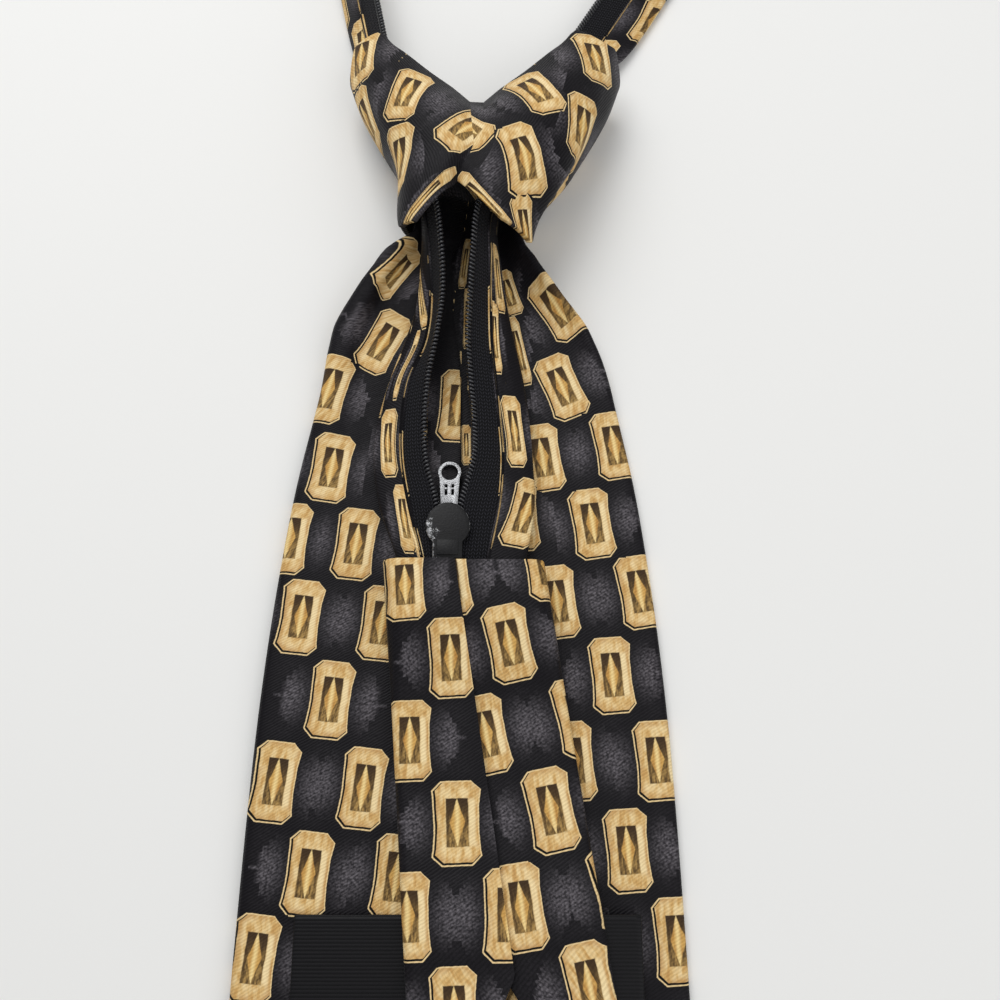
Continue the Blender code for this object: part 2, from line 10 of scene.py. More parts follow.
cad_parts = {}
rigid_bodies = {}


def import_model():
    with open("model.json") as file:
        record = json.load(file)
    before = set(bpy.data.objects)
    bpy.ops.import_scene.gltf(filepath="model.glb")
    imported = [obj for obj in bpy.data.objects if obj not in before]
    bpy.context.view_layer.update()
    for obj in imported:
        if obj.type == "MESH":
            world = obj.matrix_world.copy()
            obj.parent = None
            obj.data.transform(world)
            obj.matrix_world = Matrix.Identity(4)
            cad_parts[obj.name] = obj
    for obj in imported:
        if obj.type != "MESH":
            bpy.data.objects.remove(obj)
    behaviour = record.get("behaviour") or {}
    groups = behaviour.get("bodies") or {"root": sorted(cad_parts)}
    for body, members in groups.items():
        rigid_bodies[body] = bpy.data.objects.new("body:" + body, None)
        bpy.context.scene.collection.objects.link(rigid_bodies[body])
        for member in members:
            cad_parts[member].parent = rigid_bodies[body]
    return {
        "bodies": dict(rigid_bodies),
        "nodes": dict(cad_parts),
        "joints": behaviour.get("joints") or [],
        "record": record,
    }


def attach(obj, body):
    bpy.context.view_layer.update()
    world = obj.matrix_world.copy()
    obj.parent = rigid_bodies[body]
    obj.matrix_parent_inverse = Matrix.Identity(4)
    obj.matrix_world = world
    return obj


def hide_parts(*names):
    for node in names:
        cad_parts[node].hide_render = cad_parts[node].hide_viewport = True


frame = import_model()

bl_info = {
    "name": "Zipper tie",
    "version": (1, 0, 0),
    "blender": (4, 5, 0),
    "location": "View3D > Sidebar > Tie",
    "description": "Printed silk, zip and fittings round the zipper tie's frame",
    "category": "Object",
}

# The sizes that the frame is made to, in metres
GAP = 0.0003
CLOTH = 0.0010
BLADE_LENGTH = 0.441
BLADE_WIDTH = 0.100
BLADE_FILL = 0.0004
BLADE_OVERLAP = 0.012
BLADE_OPENING = 0.100
BLADE_SEAM_X = -0.0013
TAIL_SEAM_X = -0.0018
TAIL_SEAM_LEAN = 0.036
HEM_FOLD = 0.0035
GATHER_RISE = 0.0070
GATHER_LENGTH = 0.056
MOUTH_Y = 0.060
MOUTH_WIDTH = 0.0325
KNOT_TOP_WIDTH = 0.069
KNOT_LENGTH = 0.052
KNOT_HEIGHT = 0.0270
KNOT_WALL = 0.0015
KNOT_SWAY = 0.0042
KNOT_SEAM_X = -0.0018
KNOT_ROUND = 0.72
KNOT_PUFF = 0.0007
EAR_SHARE = 0.72
SEAM_HOLLOW = 0.0022
EAR_RISE = 0.0250
MOUTH_APEX = 0.0036
MOUTH_REACH = 0.0100
HEM_DROP = 0.0827
TAIL_LENGTH = 0.136
TAIL_WIDTH = 0.042
TAIL_TOP_WIDTH = 0.0345
TAIL_OPENING = 0.057
TAIL_LEAN = 0.117
TAIL_FILL = 0.0004
TAIL_OVERLAP = 0.008
LABEL_WIDTH = 0.0700
LABEL_HEIGHT = 0.0280
LABEL_DROP = 0.1550
LABEL_X = 0.0015
BAND_THICKNESS = 0.0020
TAPE_THICKNESS = 0.0007
COIL_RADIUS = 0.00085
LEG_BAND = 0.0085
LEG_TAPE = 0.0055
LOOP_RADIUS = 0.0726
LOOP_CENTRE_X = 0.0290
LOOP_CENTRE_DROP = 0.2130
LOOP_ROLL = math.radians(58.0)
LEG_BOW = 0.0050
SLIDER_WIDTH = 0.0098
SLIDER_REAR_WIDTH = 0.0066
SLIDER_LENGTH = 0.0128
SLIDER_X = -0.0035
PLATE = 0.0007
THROAT_OFFSET = 0.0028
CROWN = 0.0006
TAB_THICKNESS = 0.0009
TAB_LENGTH = 0.0128
TAB_RING_RADIUS = 0.00265
TAB_HOLE_RADIUS = 0.00190
TAB_REST = math.radians(-4.0)

# Levels that follow from them
BLADE_TOP = 3 * CLOTH + BLADE_FILL + GAP
CROWN_Z = BLADE_TOP + GAP
TAB_Z = CROWN_Z + CROWN + GAP + TAB_THICKNESS / 2
LOWER_PLATE_Z = TAB_Z + TAB_THICKNESS / 2 + GAP
COIL_Z = LOWER_PLATE_Z + PLATE + GAP + COIL_RADIUS
UPPER_PLATE_Z = COIL_Z + COIL_RADIUS + GAP
ZIP_LIFT = COIL_Z - BLADE_TOP
ROW_OFFSET = COIL_RADIUS + GAP
HEM_Y = MOUTH_Y - HEM_DROP
SLIDER_REAR_Y = HEM_Y + GAP
SLIDER_NOSE_Y = SLIDER_REAR_Y + SLIDER_LENGTH
TAB_AXLE_Y = SLIDER_NOSE_Y - 0.0016

# Drop as a share of BLADE_LENGTH, spread as a share of the way to BLADE_WIDTH
BLADE_SPREAD = (
    (-0.034, -0.085), (0.0030, -0.070), (0.0062, -0.035), (0.0100, 0.010), (0.0136, 0.056), (0.0181, 0.100),
    (0.0215, 0.127), (0.0304, 0.212), (0.0413, 0.306), (0.0490, 0.372), (0.0560, 0.422), (0.0640, 0.455),
    (0.0741, 0.490), (0.0971, 0.545), (0.142, 0.655), (0.185, 0.728), (0.230, 0.785), (0.278, 0.825),
    (0.345, 0.855), (0.450, 0.885), (0.650, 0.940), (0.887, 0.985),
)
# Share of the knot's length, share of its widening, share of its height
KNOT_PROFILE = (
    (0.00, 0.00, 0.94), (0.12, 0.07, 0.99), (0.32, 0.29, 1.00),
    (0.53, 0.56, 0.97), (0.75, 0.81, 0.86), (1.00, 1.00, 0.66),
)
# The notch between the knot's ears: share of the way out to an ear, share of its depth
NOTCH = ((0.0, 0.91), (0.12, 0.86), (0.25, 0.74), (0.5, 0.53), (0.75, 0.29), (0.9, 0.15), (1.0, 0.0))
# Soft folds on the blade's back: place and width as shares of the half width, height as a share
FLAP_SWELL = 0.0011
FLAP_FOLDS = (
    (-0.90, 0.07, 1.0), (-0.74, 0.06, -0.6), (0.62, 0.05, 0.5), (0.78, 0.06, 1.0), (0.94, 0.05, 0.4),
)
# Drop below the mouth, then the coil's, the seam's and the outer edge's place across and lift
LEFT_BAND = (
    (1.120, None, -0.395, -0.660, 1.00, 0.92, 0.64),
    (1.000, None, -0.400, -0.690, 1.00, 0.92, 0.64),
    (0.840, None, -0.560, -0.905, 1.00, 0.86, 0.42),
    (0.710, -0.420, -0.655, -0.990, 1.12, 0.80, 0.36),
    (0.600, -0.443, -0.662, -0.960, 1.30, 0.84, 0.36),
    (0.480, -0.405, -0.600, -0.850, 1.70, 0.96, 0.36),
    (0.365, -0.315, -0.420, -0.700, 2.20, 1.12, 0.40),
    (0.250, -0.255, -0.360, -0.560, 2.55, 1.40, 0.50),
    (0.130, -0.262, -0.380, -0.500, 3.00, 1.85, 0.70),
    (0.000, -0.325, -0.430, -0.480, 3.30, 2.15, 0.80),
    (-0.180, -0.490, -0.580, -0.610, 4.50, 3.30, 2.50),
    (-0.370, -0.730, -0.850, -0.910, 3.90, 2.70, 1.50),
    (-0.560, -0.940, -1.060, -1.150, 3.15, 2.05, 1.00),
    (-0.720, -1.080, -1.260, -1.480, 2.95, 1.80, 0.40),
)
RIGHT_BAND = (
    (1.120, None, 0.180, 0.600, 1.00, 0.92, 0.64),
    (1.000, None, 0.230, 0.650, 1.00, 0.92, 0.64),
    (0.840, None, 0.345, 0.740, 1.00, 0.86, 0.42),
    (0.710, 0.095, 0.380, 0.730, 1.05, 0.80, 0.36),
    (0.600, 0.100, 0.350, 0.700, 1.12, 0.84, 0.36),
    (0.480, 0.060, 0.300, 0.640, 1.40, 0.96, 0.36),
    (0.365, 0.030, 0.250, 0.540, 1.90, 1.15, 0.40),
    (0.250, 0.050, 0.235, 0.450, 2.35, 1.46, 0.50),
    (0.130, 0.080, 0.235, 0.370, 2.90, 1.90, 0.70),
    (0.000, 0.140, 0.250, 0.330, 3.30, 2.15, 0.80),
    (-0.180, 0.380, 0.490, 0.550, 4.50, 3.40, 2.60),
    (-0.370, 0.720, 0.880, 1.020, 3.40, 2.45, 1.45),
    (-0.560, 0.980, 1.230, 1.450, 2.25, 1.50, 1.10),
    (-0.720, 1.300, 1.640, 2.060, 1.30, 0.75, 0.30),
)

# Where motifs lie on each panel: across and along in mm, tilt in degrees, then their width and length
# as shares of the full motif's, which are smaller where the cloth turns away
BLADE_RIGHT_MOTIFS = (
    (22.7, 21.1, 22, 1, 1), (22.7, 40.7, 31, 1, 1), (34.5, 6.4, 9, 1, 1), (28.9, -12.5, 8, 1, 1),
    (17.7, 3.4, 9, 1, 1), (39.0, -28.3, 9, 1, 1), (20.5, -30.6, 7, 1, 1), (32.3, -46.8, 4.5, 1, 1),
    (23.4, -65.0, 5, 1, 1), (41.3, -64.8, 4, 1, 1), (34.4, -82.9, 4, 1, 1), (43.8, -100.2, 3, 1, 1),
    (22.0, -100.0, 3, 1, 1), (10.4, 45.5, 16, 0.55, 0.7), (12.6, 30.5, 12, 0.35, 1.1),
    (-0.6, 53.5, -7, 0.22, 0.8), (-0.2, 39.1, -1, 0.14, 0.95), (0.1, 6.6, 2, 0.25, 0.6),
    (12.1, -10.8, 4, 1, 1),
)
BLADE_LEFT_MOTIFS = (
    (-31.1, 0.5, -8, 1, 1), (-14.6, 3.8, -8, 1, 1), (-32.9, 19.7, -13, 1, 1), (-20.5, 32.2, -28, 1, 1),
    (-24.7, -17.6, -6.5, 1, 1), (-39.8, -16.2, -6.5, 1, 1), (-36.1, -34.2, -6.2, 1, 1),
    (-18.2, -35.6, -6.2, 1, 1), (-28.6, -52.2, -6.2, 1, 1), (-39.4, -69.2, -6.2, 1, 1),
    (-20.9, -70.5, -6.2, 1, 1), (-31.5, -87.4, -6.2, 1, 1), (-13.5, -88.0, -6.2, 1, 1),
    (-41.4, -103.3, -6.2, 1, 1), (-24.1, -104.8, -6.2, 1, 1), (-18.6, 50.0, -38, 0.75, 0.9),
    (-2.1, 15.9, -4, 0.95, 1.1),
)
TAIL_LEFT_MOTIFS = (
    (-2.6, -44.0, 3, 1, 1), (-0.9, -77.4, 2, 1.08, 1), (-11.0, -61.0, 2, 1, 1), (-12.5, -28.7, 4, 0.93, 0.92),
    (-10.4, -95.1, 3, 1, 1), (-0.9, -112.2, 3, 1, 1), (9.5, -94.7, 0, 1.05, 1.04),
)
TAIL_RIGHT_MOTIFS = (
    (9.9, -40.8, 12.5, 1.04, 0.98), (18.4, -74.9, 12, 1.06, 1.02), (25.4, -107.9, 12, 1, 1),
    (-3.2, -27.1, 8, 1, 1), (17.8, -23.4, 10, 1, 1), (12.2, -93.4, 9, 1, 1), (4.9, -59.7, 12, 1, 1),
    (24.3, -56.0, 13, 1, 1), (31.2, -89.9, 13, 1, 1),
)
KNOT_RIGHT_MOTIFS = (
    (15.5, 88.1, 26, 1, 1), (12.3, 67.6, 22, 0.95, 1.12), (27.2, 80.4, -3, 1, 1), (31.0, 102.6, 10, 1, 1),
    (-2.2, 77.4, 46, 1, 1), (31.5, 64.5, -6, 1, 0.9), (35.0, 57.0, 14, 0.9, 0.9), (6.4, 57.4, 42, 0.32, 1.15),
    (16.3, 51.4, 20, 0.55, 1.0),
)
KNOT_LEFT_MOTIFS = (
    (-15.6, 88.4, -22, 1, 1), (-19.3, 71.3, -8, 1, 1), (-1.2, 76.6, -46, 1, 1), (-28.0, 105.0, -5, 1, 1),
    (-30.4, 88.0, 4, 0.9, 1), (-9.2, 57.0, -42, 0.26, 1.35),
)
# The same on the bands: across from the seam, and along from the end inside the tail
BAND_LEFT_MOTIFS = (
    (2.6, 76.0, -15, 0.22, 1.1), (1.8, 58.0, 0, 0.14, 1.1), (5.4, 53.5, 0, 0.16, 1.0),
    (1.3, 20.0, 5, 0.38, 1.0), (2.5, 38.5, 0, 0.42, 1.0), (-0.6, 17.0, -3, 0.30, 0.9),
)
BAND_RIGHT_MOTIFS = (
    (2.6, 41.0, 2, 0.50, 1.05), (5.6, 21.5, -9, 0.85, 1.0), (0.4, 64.0, 0, 0.24, 1.1),
    (2.0, 79.0, 4, 0.30, 1.0),
)
# The plain repeat past the drawn part of each panel: one motif's place and the repeat's tilt
BLADE_RIGHT_LATTICE = (34.4, -82.9, 2.0)
BLADE_LEFT_LATTICE = (-24.1, -104.8, -6.2)
TAIL_LATTICE = (18.4, -75.0, 8.0)
KNOT_LATTICE = (15.5, 88.1, 15.0)
BAND_LATTICE = (3.0, 120.0, 4.0)
# A motif's drawing, in metres, and its waist as a share of its half width
MOTIF_WAIST = 0.14
MOTIF_CHAMFER = 0.0021
OUTLINE = 0.00028
BODY_INSET = 0.00046
BODY_NUDGE = 0.00022
SOFT_LINE = 0.00007
RECTANGLE_HALF = 0.00208
RECTANGLE_RISE = 0.0047
LOZENGE_HALF = 0.00145
CUSHION_WIDE = 0.0038
CUSHION_TALL = 0.0050
# The drawn parts of the panels end at these places
BLADE_DRAWN_Y = -0.1125
BLADE_DRAWN_X = 0.052
TAIL_DRAWN_Y = -0.121
TAIL_DRAWN_X = 0.036
KNOT_DRAWN_RIGHT = 0.040
KNOT_DRAWN_LEFT = -0.036
BAND_DRAWN_Y = 0.098
BAND_DRAWN_X = 0.010
THREAD_UV = "threads"
PRINT_UV = "print"


def srgb(red, green, blue):
    """A colour as a person reads it off, from 0 to 255, as the linear one that a shader takes."""
    linear = []
    for value in (red / 255, green / 255, blue / 255):
        linear.append(value / 12.92 if value <= 0.04045 else ((value + 0.055) / 1.055) ** 2.4)
    return tuple(linear)


# Settings

def length(name, description, default):
    return bpy.props.FloatProperty(name=name, description=description, default=default, unit="LENGTH")


def colour(name, description, red, green, blue):
    return bpy.props.FloatVectorProperty(
        name=name, description=description, subtype="COLOR", default=srgb(red, green, blue))


class PrintSettings(bpy.types.PropertyGroup):
    """The silk's repeat and colours."""

    repeat_across: length("Repeat across", "Distance between motifs in a row", 0.0183)
    repeat_along: length("Repeat along", "Distance between motifs in a column", 0.0348)
    motif_width: length("Motif width", "Width of one motif", 0.0100)
    motif_height: length("Motif height", "Height of one motif", 0.0166)
    twill: length("Twill", "Distance between the weave's diagonal ribs", 0.00062)
    ground: colour("Ground", "The silk between the motifs", 15, 13, 17)
    cushion: colour("Cushion", "The soft light patches of the ground", 94, 90, 94)
    gold: colour("Gold", "Body of a motif", 211, 174, 111)
    cream: colour("Cream", "Lights and outline of a motif", 242, 222, 176)
    tan: colour("Tan", "Shaded side of a motif", 184, 140, 84)
    brown: colour("Brown", "The rectangle inside a motif", 62, 46, 30)
    olive: colour("Olive", "The rectangle's lighter end", 166, 134, 80)


class ZipSettings(bpy.types.PropertyGroup):
    """The zip's pitch, wire and colours."""

    pitch: length("Pitch", "Distance between the coil's turns", 0.00092)
    wire: length("Wire", "Radius of the coil's wire", 0.00032)
    tape: colour("Tape", "The woven tape", 12, 12, 15)
    coil: colour("Coil", "The nylon coil", 9, 9, 11)
    paint: colour("Paint", "The slider's paint", 11, 11, 12)
    metal: colour("Metal", "Bare metal of the slider and tab", 168, 169, 171)


class StageSettings(bpy.types.PropertyGroup):
    """The floor, the lights and the camera."""

    floor: colour("Floor", "The plain floor", 236, 236, 234)
    key: bpy.props.FloatProperty(
        name="Key light", description="Power of the large soft light", default=5.9, unit="POWER")
    sky: bpy.props.FloatProperty(
        name="Sky", description="Strength of the even light all round", default=0.39, min=0.0)
    camera_place: bpy.props.FloatVectorProperty(
        name="Camera", description="Where the camera stands", subtype="TRANSLATION",
        unit="LENGTH", default=(0.008, -0.074, 0.222))
    camera_tilt: bpy.props.FloatProperty(
        name="Tilt", description="The camera's turn away from straight down", subtype="ANGLE",
        default=math.radians(17.0))


# The cloth's shape

def table_value(rows, x, column):
    """A column of a table at x, on smooth curves through its rows and level past its ends."""
    if x <= rows[0][0]:
        return rows[0][column]
    if x >= rows[-1][0]:
        return rows[-1][column]
    k = next(i for i in range(len(rows) - 1) if rows[i + 1][0] >= x)

    def slope(i):
        low, high = max(i - 1, 0), min(i + 1, len(rows) - 1)
        return (rows[high][column] - rows[low][column]) / (rows[high][0] - rows[low][0])

    step = rows[k + 1][0] - rows[k][0]
    t = (x - rows[k][0]) / step
    start, end = rows[k][column], rows[k + 1][column]
    return (
        start * (1 + 2 * t) * (1 - t) ** 2
        + end * t * t * (3 - 2 * t)
        + slope(k) * step * t * (1 - t) ** 2
        + slope(k + 1) * step * t * t * (t - 1)
    )


def ease(t):
    t = min(max(t, 0.0), 1.0)
    return t * t * (3 - 2 * t)


def mix(a, b, t):
    return a + (b - a) * t


def curve_through(points, steps):
    """A smooth curve through the given points, with the same number of steps between each two."""
    curve = []
    last = len(points) - 1
    for i in range(last):
        before, a, b, after = points[max(i - 1, 0)], points[i], points[i + 1], points[min(i + 2, last)]
        for step in range(steps):
            t = step / steps
            bend = 2 * before - 5 * a + 4 * b - after
            twist = 3 * a - before - 3 * b + after
            curve.append(0.5 * (2 * a + (b - before) * t + bend * t * t + twist * t ** 3))
    curve.append(points[-1])
    return curve


def drawn_within(left=-1.0, right=1.0, bottom=-1.0, top=1.0):
    """A test of whether a place on a panel lies in its drawn part."""
    return lambda x, y: left < x < right and bottom < y < top


def drawn_nowhere(x, y):
    """The test for a panel that has the plain repeat all over."""
    return False


def painter(motifs, lattice, drawn):
    """How one panel is printed: turns a face's corners on the flat panel into places in the repeat.
    Where the panel is drawn, each motif has a place and tilt of its own. Elsewhere the repeat runs on."""
    settings = bpy.context.scene.tie_print
    column, row = settings.repeat_across / 2, settings.repeat_along / 4
    reach_across, reach_along = settings.motif_width / 2 + 0.0014, row + 0.0002
    frames = []
    for x, y, tilt, wide, long in motifs:
        turn = math.radians(tilt)
        frames.append((x / 1000, y / 1000, math.cos(turn), math.sin(turn), wide, long))
    base = (lattice[0] / 1000, lattice[1] / 1000, math.cos(math.radians(lattice[2])),
            math.sin(math.radians(lattice[2])), 1.0, 1.0)

    def local(frame, x, y):
        x, y = x - frame[0], y - frame[1]
        return (x * frame[2] + y * frame[3]) / frame[4], (y * frame[2] - x * frame[3]) / frame[5]

    def paint(corners):
        x = sum(c[0] for c in corners) / len(corners)
        y = sum(c[1] for c in corners) / len(corners)
        if not drawn(x, y):
            return [local(base, *c) for c in corners]
        near = []
        for frame in frames:
            u, v = local(frame, x, y)
            near.append((max(abs(u) / reach_across, abs(v) / reach_along), frame))
        share, frame = min(near, key=lambda item: item[0])
        places = [local(frame, *c) for c in corners]
        side = 2 * column - settings.motif_width / 2 - 0.0003
        held = []
        for u, v in places:
            u = min(max(u, -side), side)
            limit = row + 0.0011 - 0.0012 * ease((abs(u) - settings.motif_width / 2) / 0.0015)
            v = min(max(v, -limit), limit)
            if share > 1.0:
                past = ease((abs(u) - column + 0.0004) / 0.0028)
                v = math.copysign(max(abs(v), limit * past), v)
            held.append((u, v))
        return held

    return paint


def blade_half_width(y):
    drop = (MOUTH_Y - y) / BLADE_LENGTH
    spread = table_value(BLADE_SPREAD, drop, 1)
    half = mix(MOUTH_WIDTH, BLADE_WIDTH, spread) / 2
    to_tip = y - (MOUTH_Y - BLADE_LENGTH)
    return min(half, max(to_tip, 0.0) + HEM_FOLD / 2)


def blade_centre(y):
    """The gathered end leans a little to the left of the blade's middle."""
    return -0.0025 * ease((y - 0.018) / 0.030) * ease((MOUTH_Y - y) / 0.006)


def gather(y):
    """How strongly the blade is gathered at y, from 1 at the mouth to 0 on the flat."""
    return ease(1 - (MOUTH_Y - y) / GATHER_LENGTH)


def blade_base(y):
    """The front wall lifts to pass over the knot's front wall."""
    return (KNOT_WALL + GAP) * ease(1 - (MOUTH_Y - 0.002 - y) / 0.022)


def blade_bend(u, y):
    """Height and slope of the gathered section's middle line at u across."""
    share = u / blade_half_width(y)
    rise = GATHER_RISE * gather(y)
    pleat = 0.0007 * gather(y)
    waves = 3 * math.pi
    height = blade_base(y) + rise * share ** 4 + pleat * (1 - math.cos(waves * share)) / 2 * (1 - share ** 2)
    slope = 4 * rise * share ** 3 / blade_half_width(y)
    return height, slope


def blade_back(x, y):
    """Height of the blade's back surface, without its pleats."""
    height, slope = blade_bend(min(max(x, -blade_half_width(y)), blade_half_width(y)), y)
    return height + BLADE_TOP * math.sqrt(1 + slope * slope)


FLAP, ROUND, FRONT = 40, 6, 26


def folded_section(half, fill, inner_right, inner_left):
    """Points (across, up, panel) of a sheet folded over at both sides, from its right end to its left."""
    front = CLOTH / 2
    right = front + CLOTH + fill
    left = right + CLOTH + GAP
    right_round = (right - front) / 2
    left_round = (left - front) / 2
    points = []
    for i in range(FLAP):
        points.append((mix(inner_right, half - right_round, i / (FLAP - 1)), right, "right"))
    for i in range(1, ROUND):
        turn = math.pi / 2 - math.pi * i / ROUND
        points.append((half - right_round * (1 - math.cos(turn)),
                       front + right_round * (1 + math.sin(turn)), "right"))
    for i in range(FRONT):
        points.append((mix(half - right_round, -half + left_round, i / (FRONT - 1)), front, "front"))
    for i in range(1, ROUND):
        turn = -math.pi / 2 - math.pi * i / ROUND
        points.append((-half + left_round * (1 + math.cos(turn)),
                       front + left_round * (1 + math.sin(turn)), "left"))
    for i in range(FLAP):
        points.append((mix(-half + left_round, inner_left, i / (FLAP - 1)), left, "left"))
    return points


def section_places(section, centre, y):
    """Where each point of a folded section lies on the flat cloth, as seen from its panels."""
    last_right = max(i for i, point in enumerate(section) if point[2] == "right")
    first_left = min(i for i, point in enumerate(section) if point[2] == "left")
    walked = 0.0
    places = []
    for i, (across, up, _) in enumerate(section):
        if i:
            walked += math.hypot(across - section[i - 1][0], up - section[i - 1][1])
        place = {"threads": (walked, y)}
        if i <= last_right:
            place["right"] = (centre + across, y)
        if i >= first_left:
            place["left"] = (centre + across, y)
        if last_right <= i <= first_left:
            place["front"] = (walked, y)
        places.append(place)
    return places


def opening_share(y, apex, corner):
    """0 above a pointed end's opening, 1 from its corners down."""
    return min(max((apex - y) / (apex - corner), 0.0), 1.0)


def spread_ends(half, overlap, share):
    """Where the two back folds end, either side of the seam, as the opening widens."""
    edge = max(half - HEM_FOLD, half * 0.35)
    return mix(-overlap / 2, edge, share), mix(overlap / 2, -edge, share)


def spaced(start, end, step):
    count = max(int(round(abs(end - start) / step)), 1)
    return [mix(start, end, i / count) for i in range(count)]


def flap_swell(u, half, y):
    """Soft folds that fan out from the gathers over the blade's back."""
    share = u / half
    strength = FLAP_SWELL * ease(1 - (MOUTH_Y - y) / 0.095) * ease((MOUTH_Y + 0.002 - y) / 0.012)
    swell = 0.0
    for centre, width, height in FLAP_FOLDS:
        swell += height * math.exp(-(((share - centre) / width) ** 2))
    return strength * swell


def wrinkle(x, y, size, height):
    """Slow unevenness of a cloth that has been worn."""
    return height * noise.noise(Vector((x / size, y / (size * 2.2), 3.7)))


def blade_rows():
    tip = MOUTH_Y - BLADE_LENGTH
    corner = tip + BLADE_WIDTH / 2
    apex = corner + BLADE_OPENING
    ys = spaced(MOUTH_Y + 0.011, -0.112, 0.0012) + spaced(-0.112, corner, 0.0042)
    ys += spaced(corner, tip + 0.001, 0.0022) + [tip + 0.001]
    rows, prints = [], []
    for y in ys:
        half = blade_half_width(y)
        share = opening_share(y, apex, corner)
        inner_right, inner_left = spread_ends(half, min(BLADE_OVERLAP, half), share)
        inner_left = min(inner_left, mix(BLADE_SEAM_X, inner_left, ease((HEM_Y - y) / 0.03)))
        section = folded_section(half, BLADE_FILL, inner_right, inner_left)
        prints.append(section_places(section, blade_centre(y), y))
        row = []
        for u, d, _ in section:
            height, slope = blade_bend(u, y)
            length = math.hypot(1, slope)
            if d > 2 * CLOTH and abs(u) > 0.45 * half:
                d += max(flap_swell(u, half, y), -0.0004) + wrinkle(u, y, 0.012, 0.00016)
            row.append(Vector((blade_centre(y) + u - d * slope / length, y, height + d / length)))
        rows.append(row)
    return rows, prints


def tail_half_width(y):
    tip = HEM_Y - TAIL_LENGTH
    corner = tip + TAIL_WIDTH / 2
    half = mix(TAIL_TOP_WIDTH, TAIL_WIDTH, min((HEM_Y - y) / (HEM_Y - corner), 1.0)) / 2
    return min(half, max(y - tip, 0.0) + HEM_FOLD / 2)


def tail_centre(y):
    return (HEM_Y - y) * TAIL_LEAN


def label_bump(y):
    """1 over the label, easing to 0 past both its edges."""
    top = MOUTH_Y - LABEL_DROP
    middle = top - LABEL_HEIGHT / 2
    away = abs(y - middle) - LABEL_HEIGHT / 2 - 0.002
    return ease(1 - away / 0.015)


def tail_base(y):
    return BLADE_TOP + GAP + (CLOTH + GAP) * label_bump(y)


def tail_fill(y):
    """Room between the tail's walls: the zip and the bands need it below the hem."""
    zip_room = COIL_Z + COIL_RADIUS + GAP - (BLADE_TOP + GAP + CLOTH)
    inside = (LEFT_BAND[0][0] - 1) * HEM_DROP + GAP
    return mix(TAIL_FILL, zip_room, ease(1 - (HEM_Y - inside - y) / 0.022))


def tail_rows():
    tip = HEM_Y - TAIL_LENGTH
    corner = tip + TAIL_WIDTH / 2
    apex = corner + TAIL_OPENING * 0.65
    ys = spaced(HEM_Y, corner, 0.0012) + spaced(corner, tip + 0.001, 0.0012) + [tip + 0.001]
    rows, prints = [], []
    for y in ys:
        half = tail_half_width(y)
        inner_right, inner_left = spread_ends(half, min(TAIL_OVERLAP, half), opening_share(y, apex, corner))
        inner_left = min(inner_left, TAIL_SEAM_X + TAIL_SEAM_LEAN * (HEM_Y - y))
        section = folded_section(half, tail_fill(y), inner_right, inner_left)
        prints.append(section_places(section, tail_centre(y), y))
        base = tail_base(y)
        row = []
        for u, d, _ in section:
            if d > 1.9 * CLOTH:
                d += wrinkle(u, y, 0.010, 0.00022) + 0.00035 * (1 - (u / half) ** 2)
            row.append(Vector((tail_centre(y) + u, y, base + d)))
        rows.append(row)
    return rows, prints


def lining_rows(apex, corner, tip, half_at, centre_at, overlap, level, steps):
    """A flat panel that fills a pointed end's opening, just inside its folds."""
    rows = []
    start = 0.001
    edge = half_at(apex) - HEM_FOLD
    share = (overlap / 2 + start) / (overlap / 2 + edge)
    top = mix(apex, corner, share * 1.1)
    bottom = tip + HEM_FOLD * 2.2
    for i in range(steps + 1):
        y = mix(top, bottom, i / steps)
        inner = spread_ends(half_at(y), overlap, opening_share(y, apex, corner))[0]
        reach = inner - 3 * GAP
        rows.append([Vector((centre_at(y) + reach * (1 - k / 6), y, level(y))) for k in range(13)])
    return rows


def knot_across(turn, half):
    """How far across the knot's rounded section a turn lies."""
    return half * math.copysign(abs(math.cos(turn)) ** KNOT_ROUND, math.cos(turn))


def knot_point(turn, share):
    """A point on the knot's wall, turn round it from its right side and share up from its mouth."""
    up = math.sin(turn)
    back = ease(up * 3)
    aside = abs(knot_across(turn, MOUTH_WIDTH / 2) - KNOT_SEAM_X)
    beyond = max(aside - MOUTH_REACH, 0.0) * (-0.45 if math.cos(turn) > 0 else 0.25)
    rim = MOUTH_APEX - min(aside, MOUTH_REACH) * 1.02 + beyond
    mouth = MOUTH_Y + rim * ease(up * 2.5)
    from_notch = abs(knot_across(turn, KNOT_TOP_WIDTH / 2) - KNOT_SEAM_X) / (KNOT_TOP_WIDTH / 2)
    ear = min(from_notch / EAR_SHARE, 1.0)
    side = ease((from_notch - EAR_SHARE) / (1 - EAR_SHARE))
    front_top = MOUTH_Y + KNOT_LENGTH - EAR_RISE * 0.40
    back_top = MOUTH_Y + KNOT_LENGTH - EAR_RISE * (table_value(NOTCH, ear, 1) + 0.10 * side)
    y = mix(mouth, mix(front_top, back_top, back), share)
    level = table_value(KNOT_PROFILE, share, 2) * KNOT_HEIGHT
    half = mix(MOUTH_WIDTH, KNOT_TOP_WIDTH, table_value(KNOT_PROFILE, share, 1)) / 2 - KNOT_WALL / 2
    x = knot_across(turn, half)
    bottom = KNOT_WALL / 2
    reach = level / 2 - bottom
    z = level / 2 + reach * math.copysign(abs(up) ** KNOT_ROUND, up)
    groove = KNOT_WALL * math.exp(-(((x - KNOT_SEAM_X) / SEAM_HOLLOW) ** 2)) * back
    return Vector((x + KNOT_SWAY * ease(share / 0.35), y, z - groove))


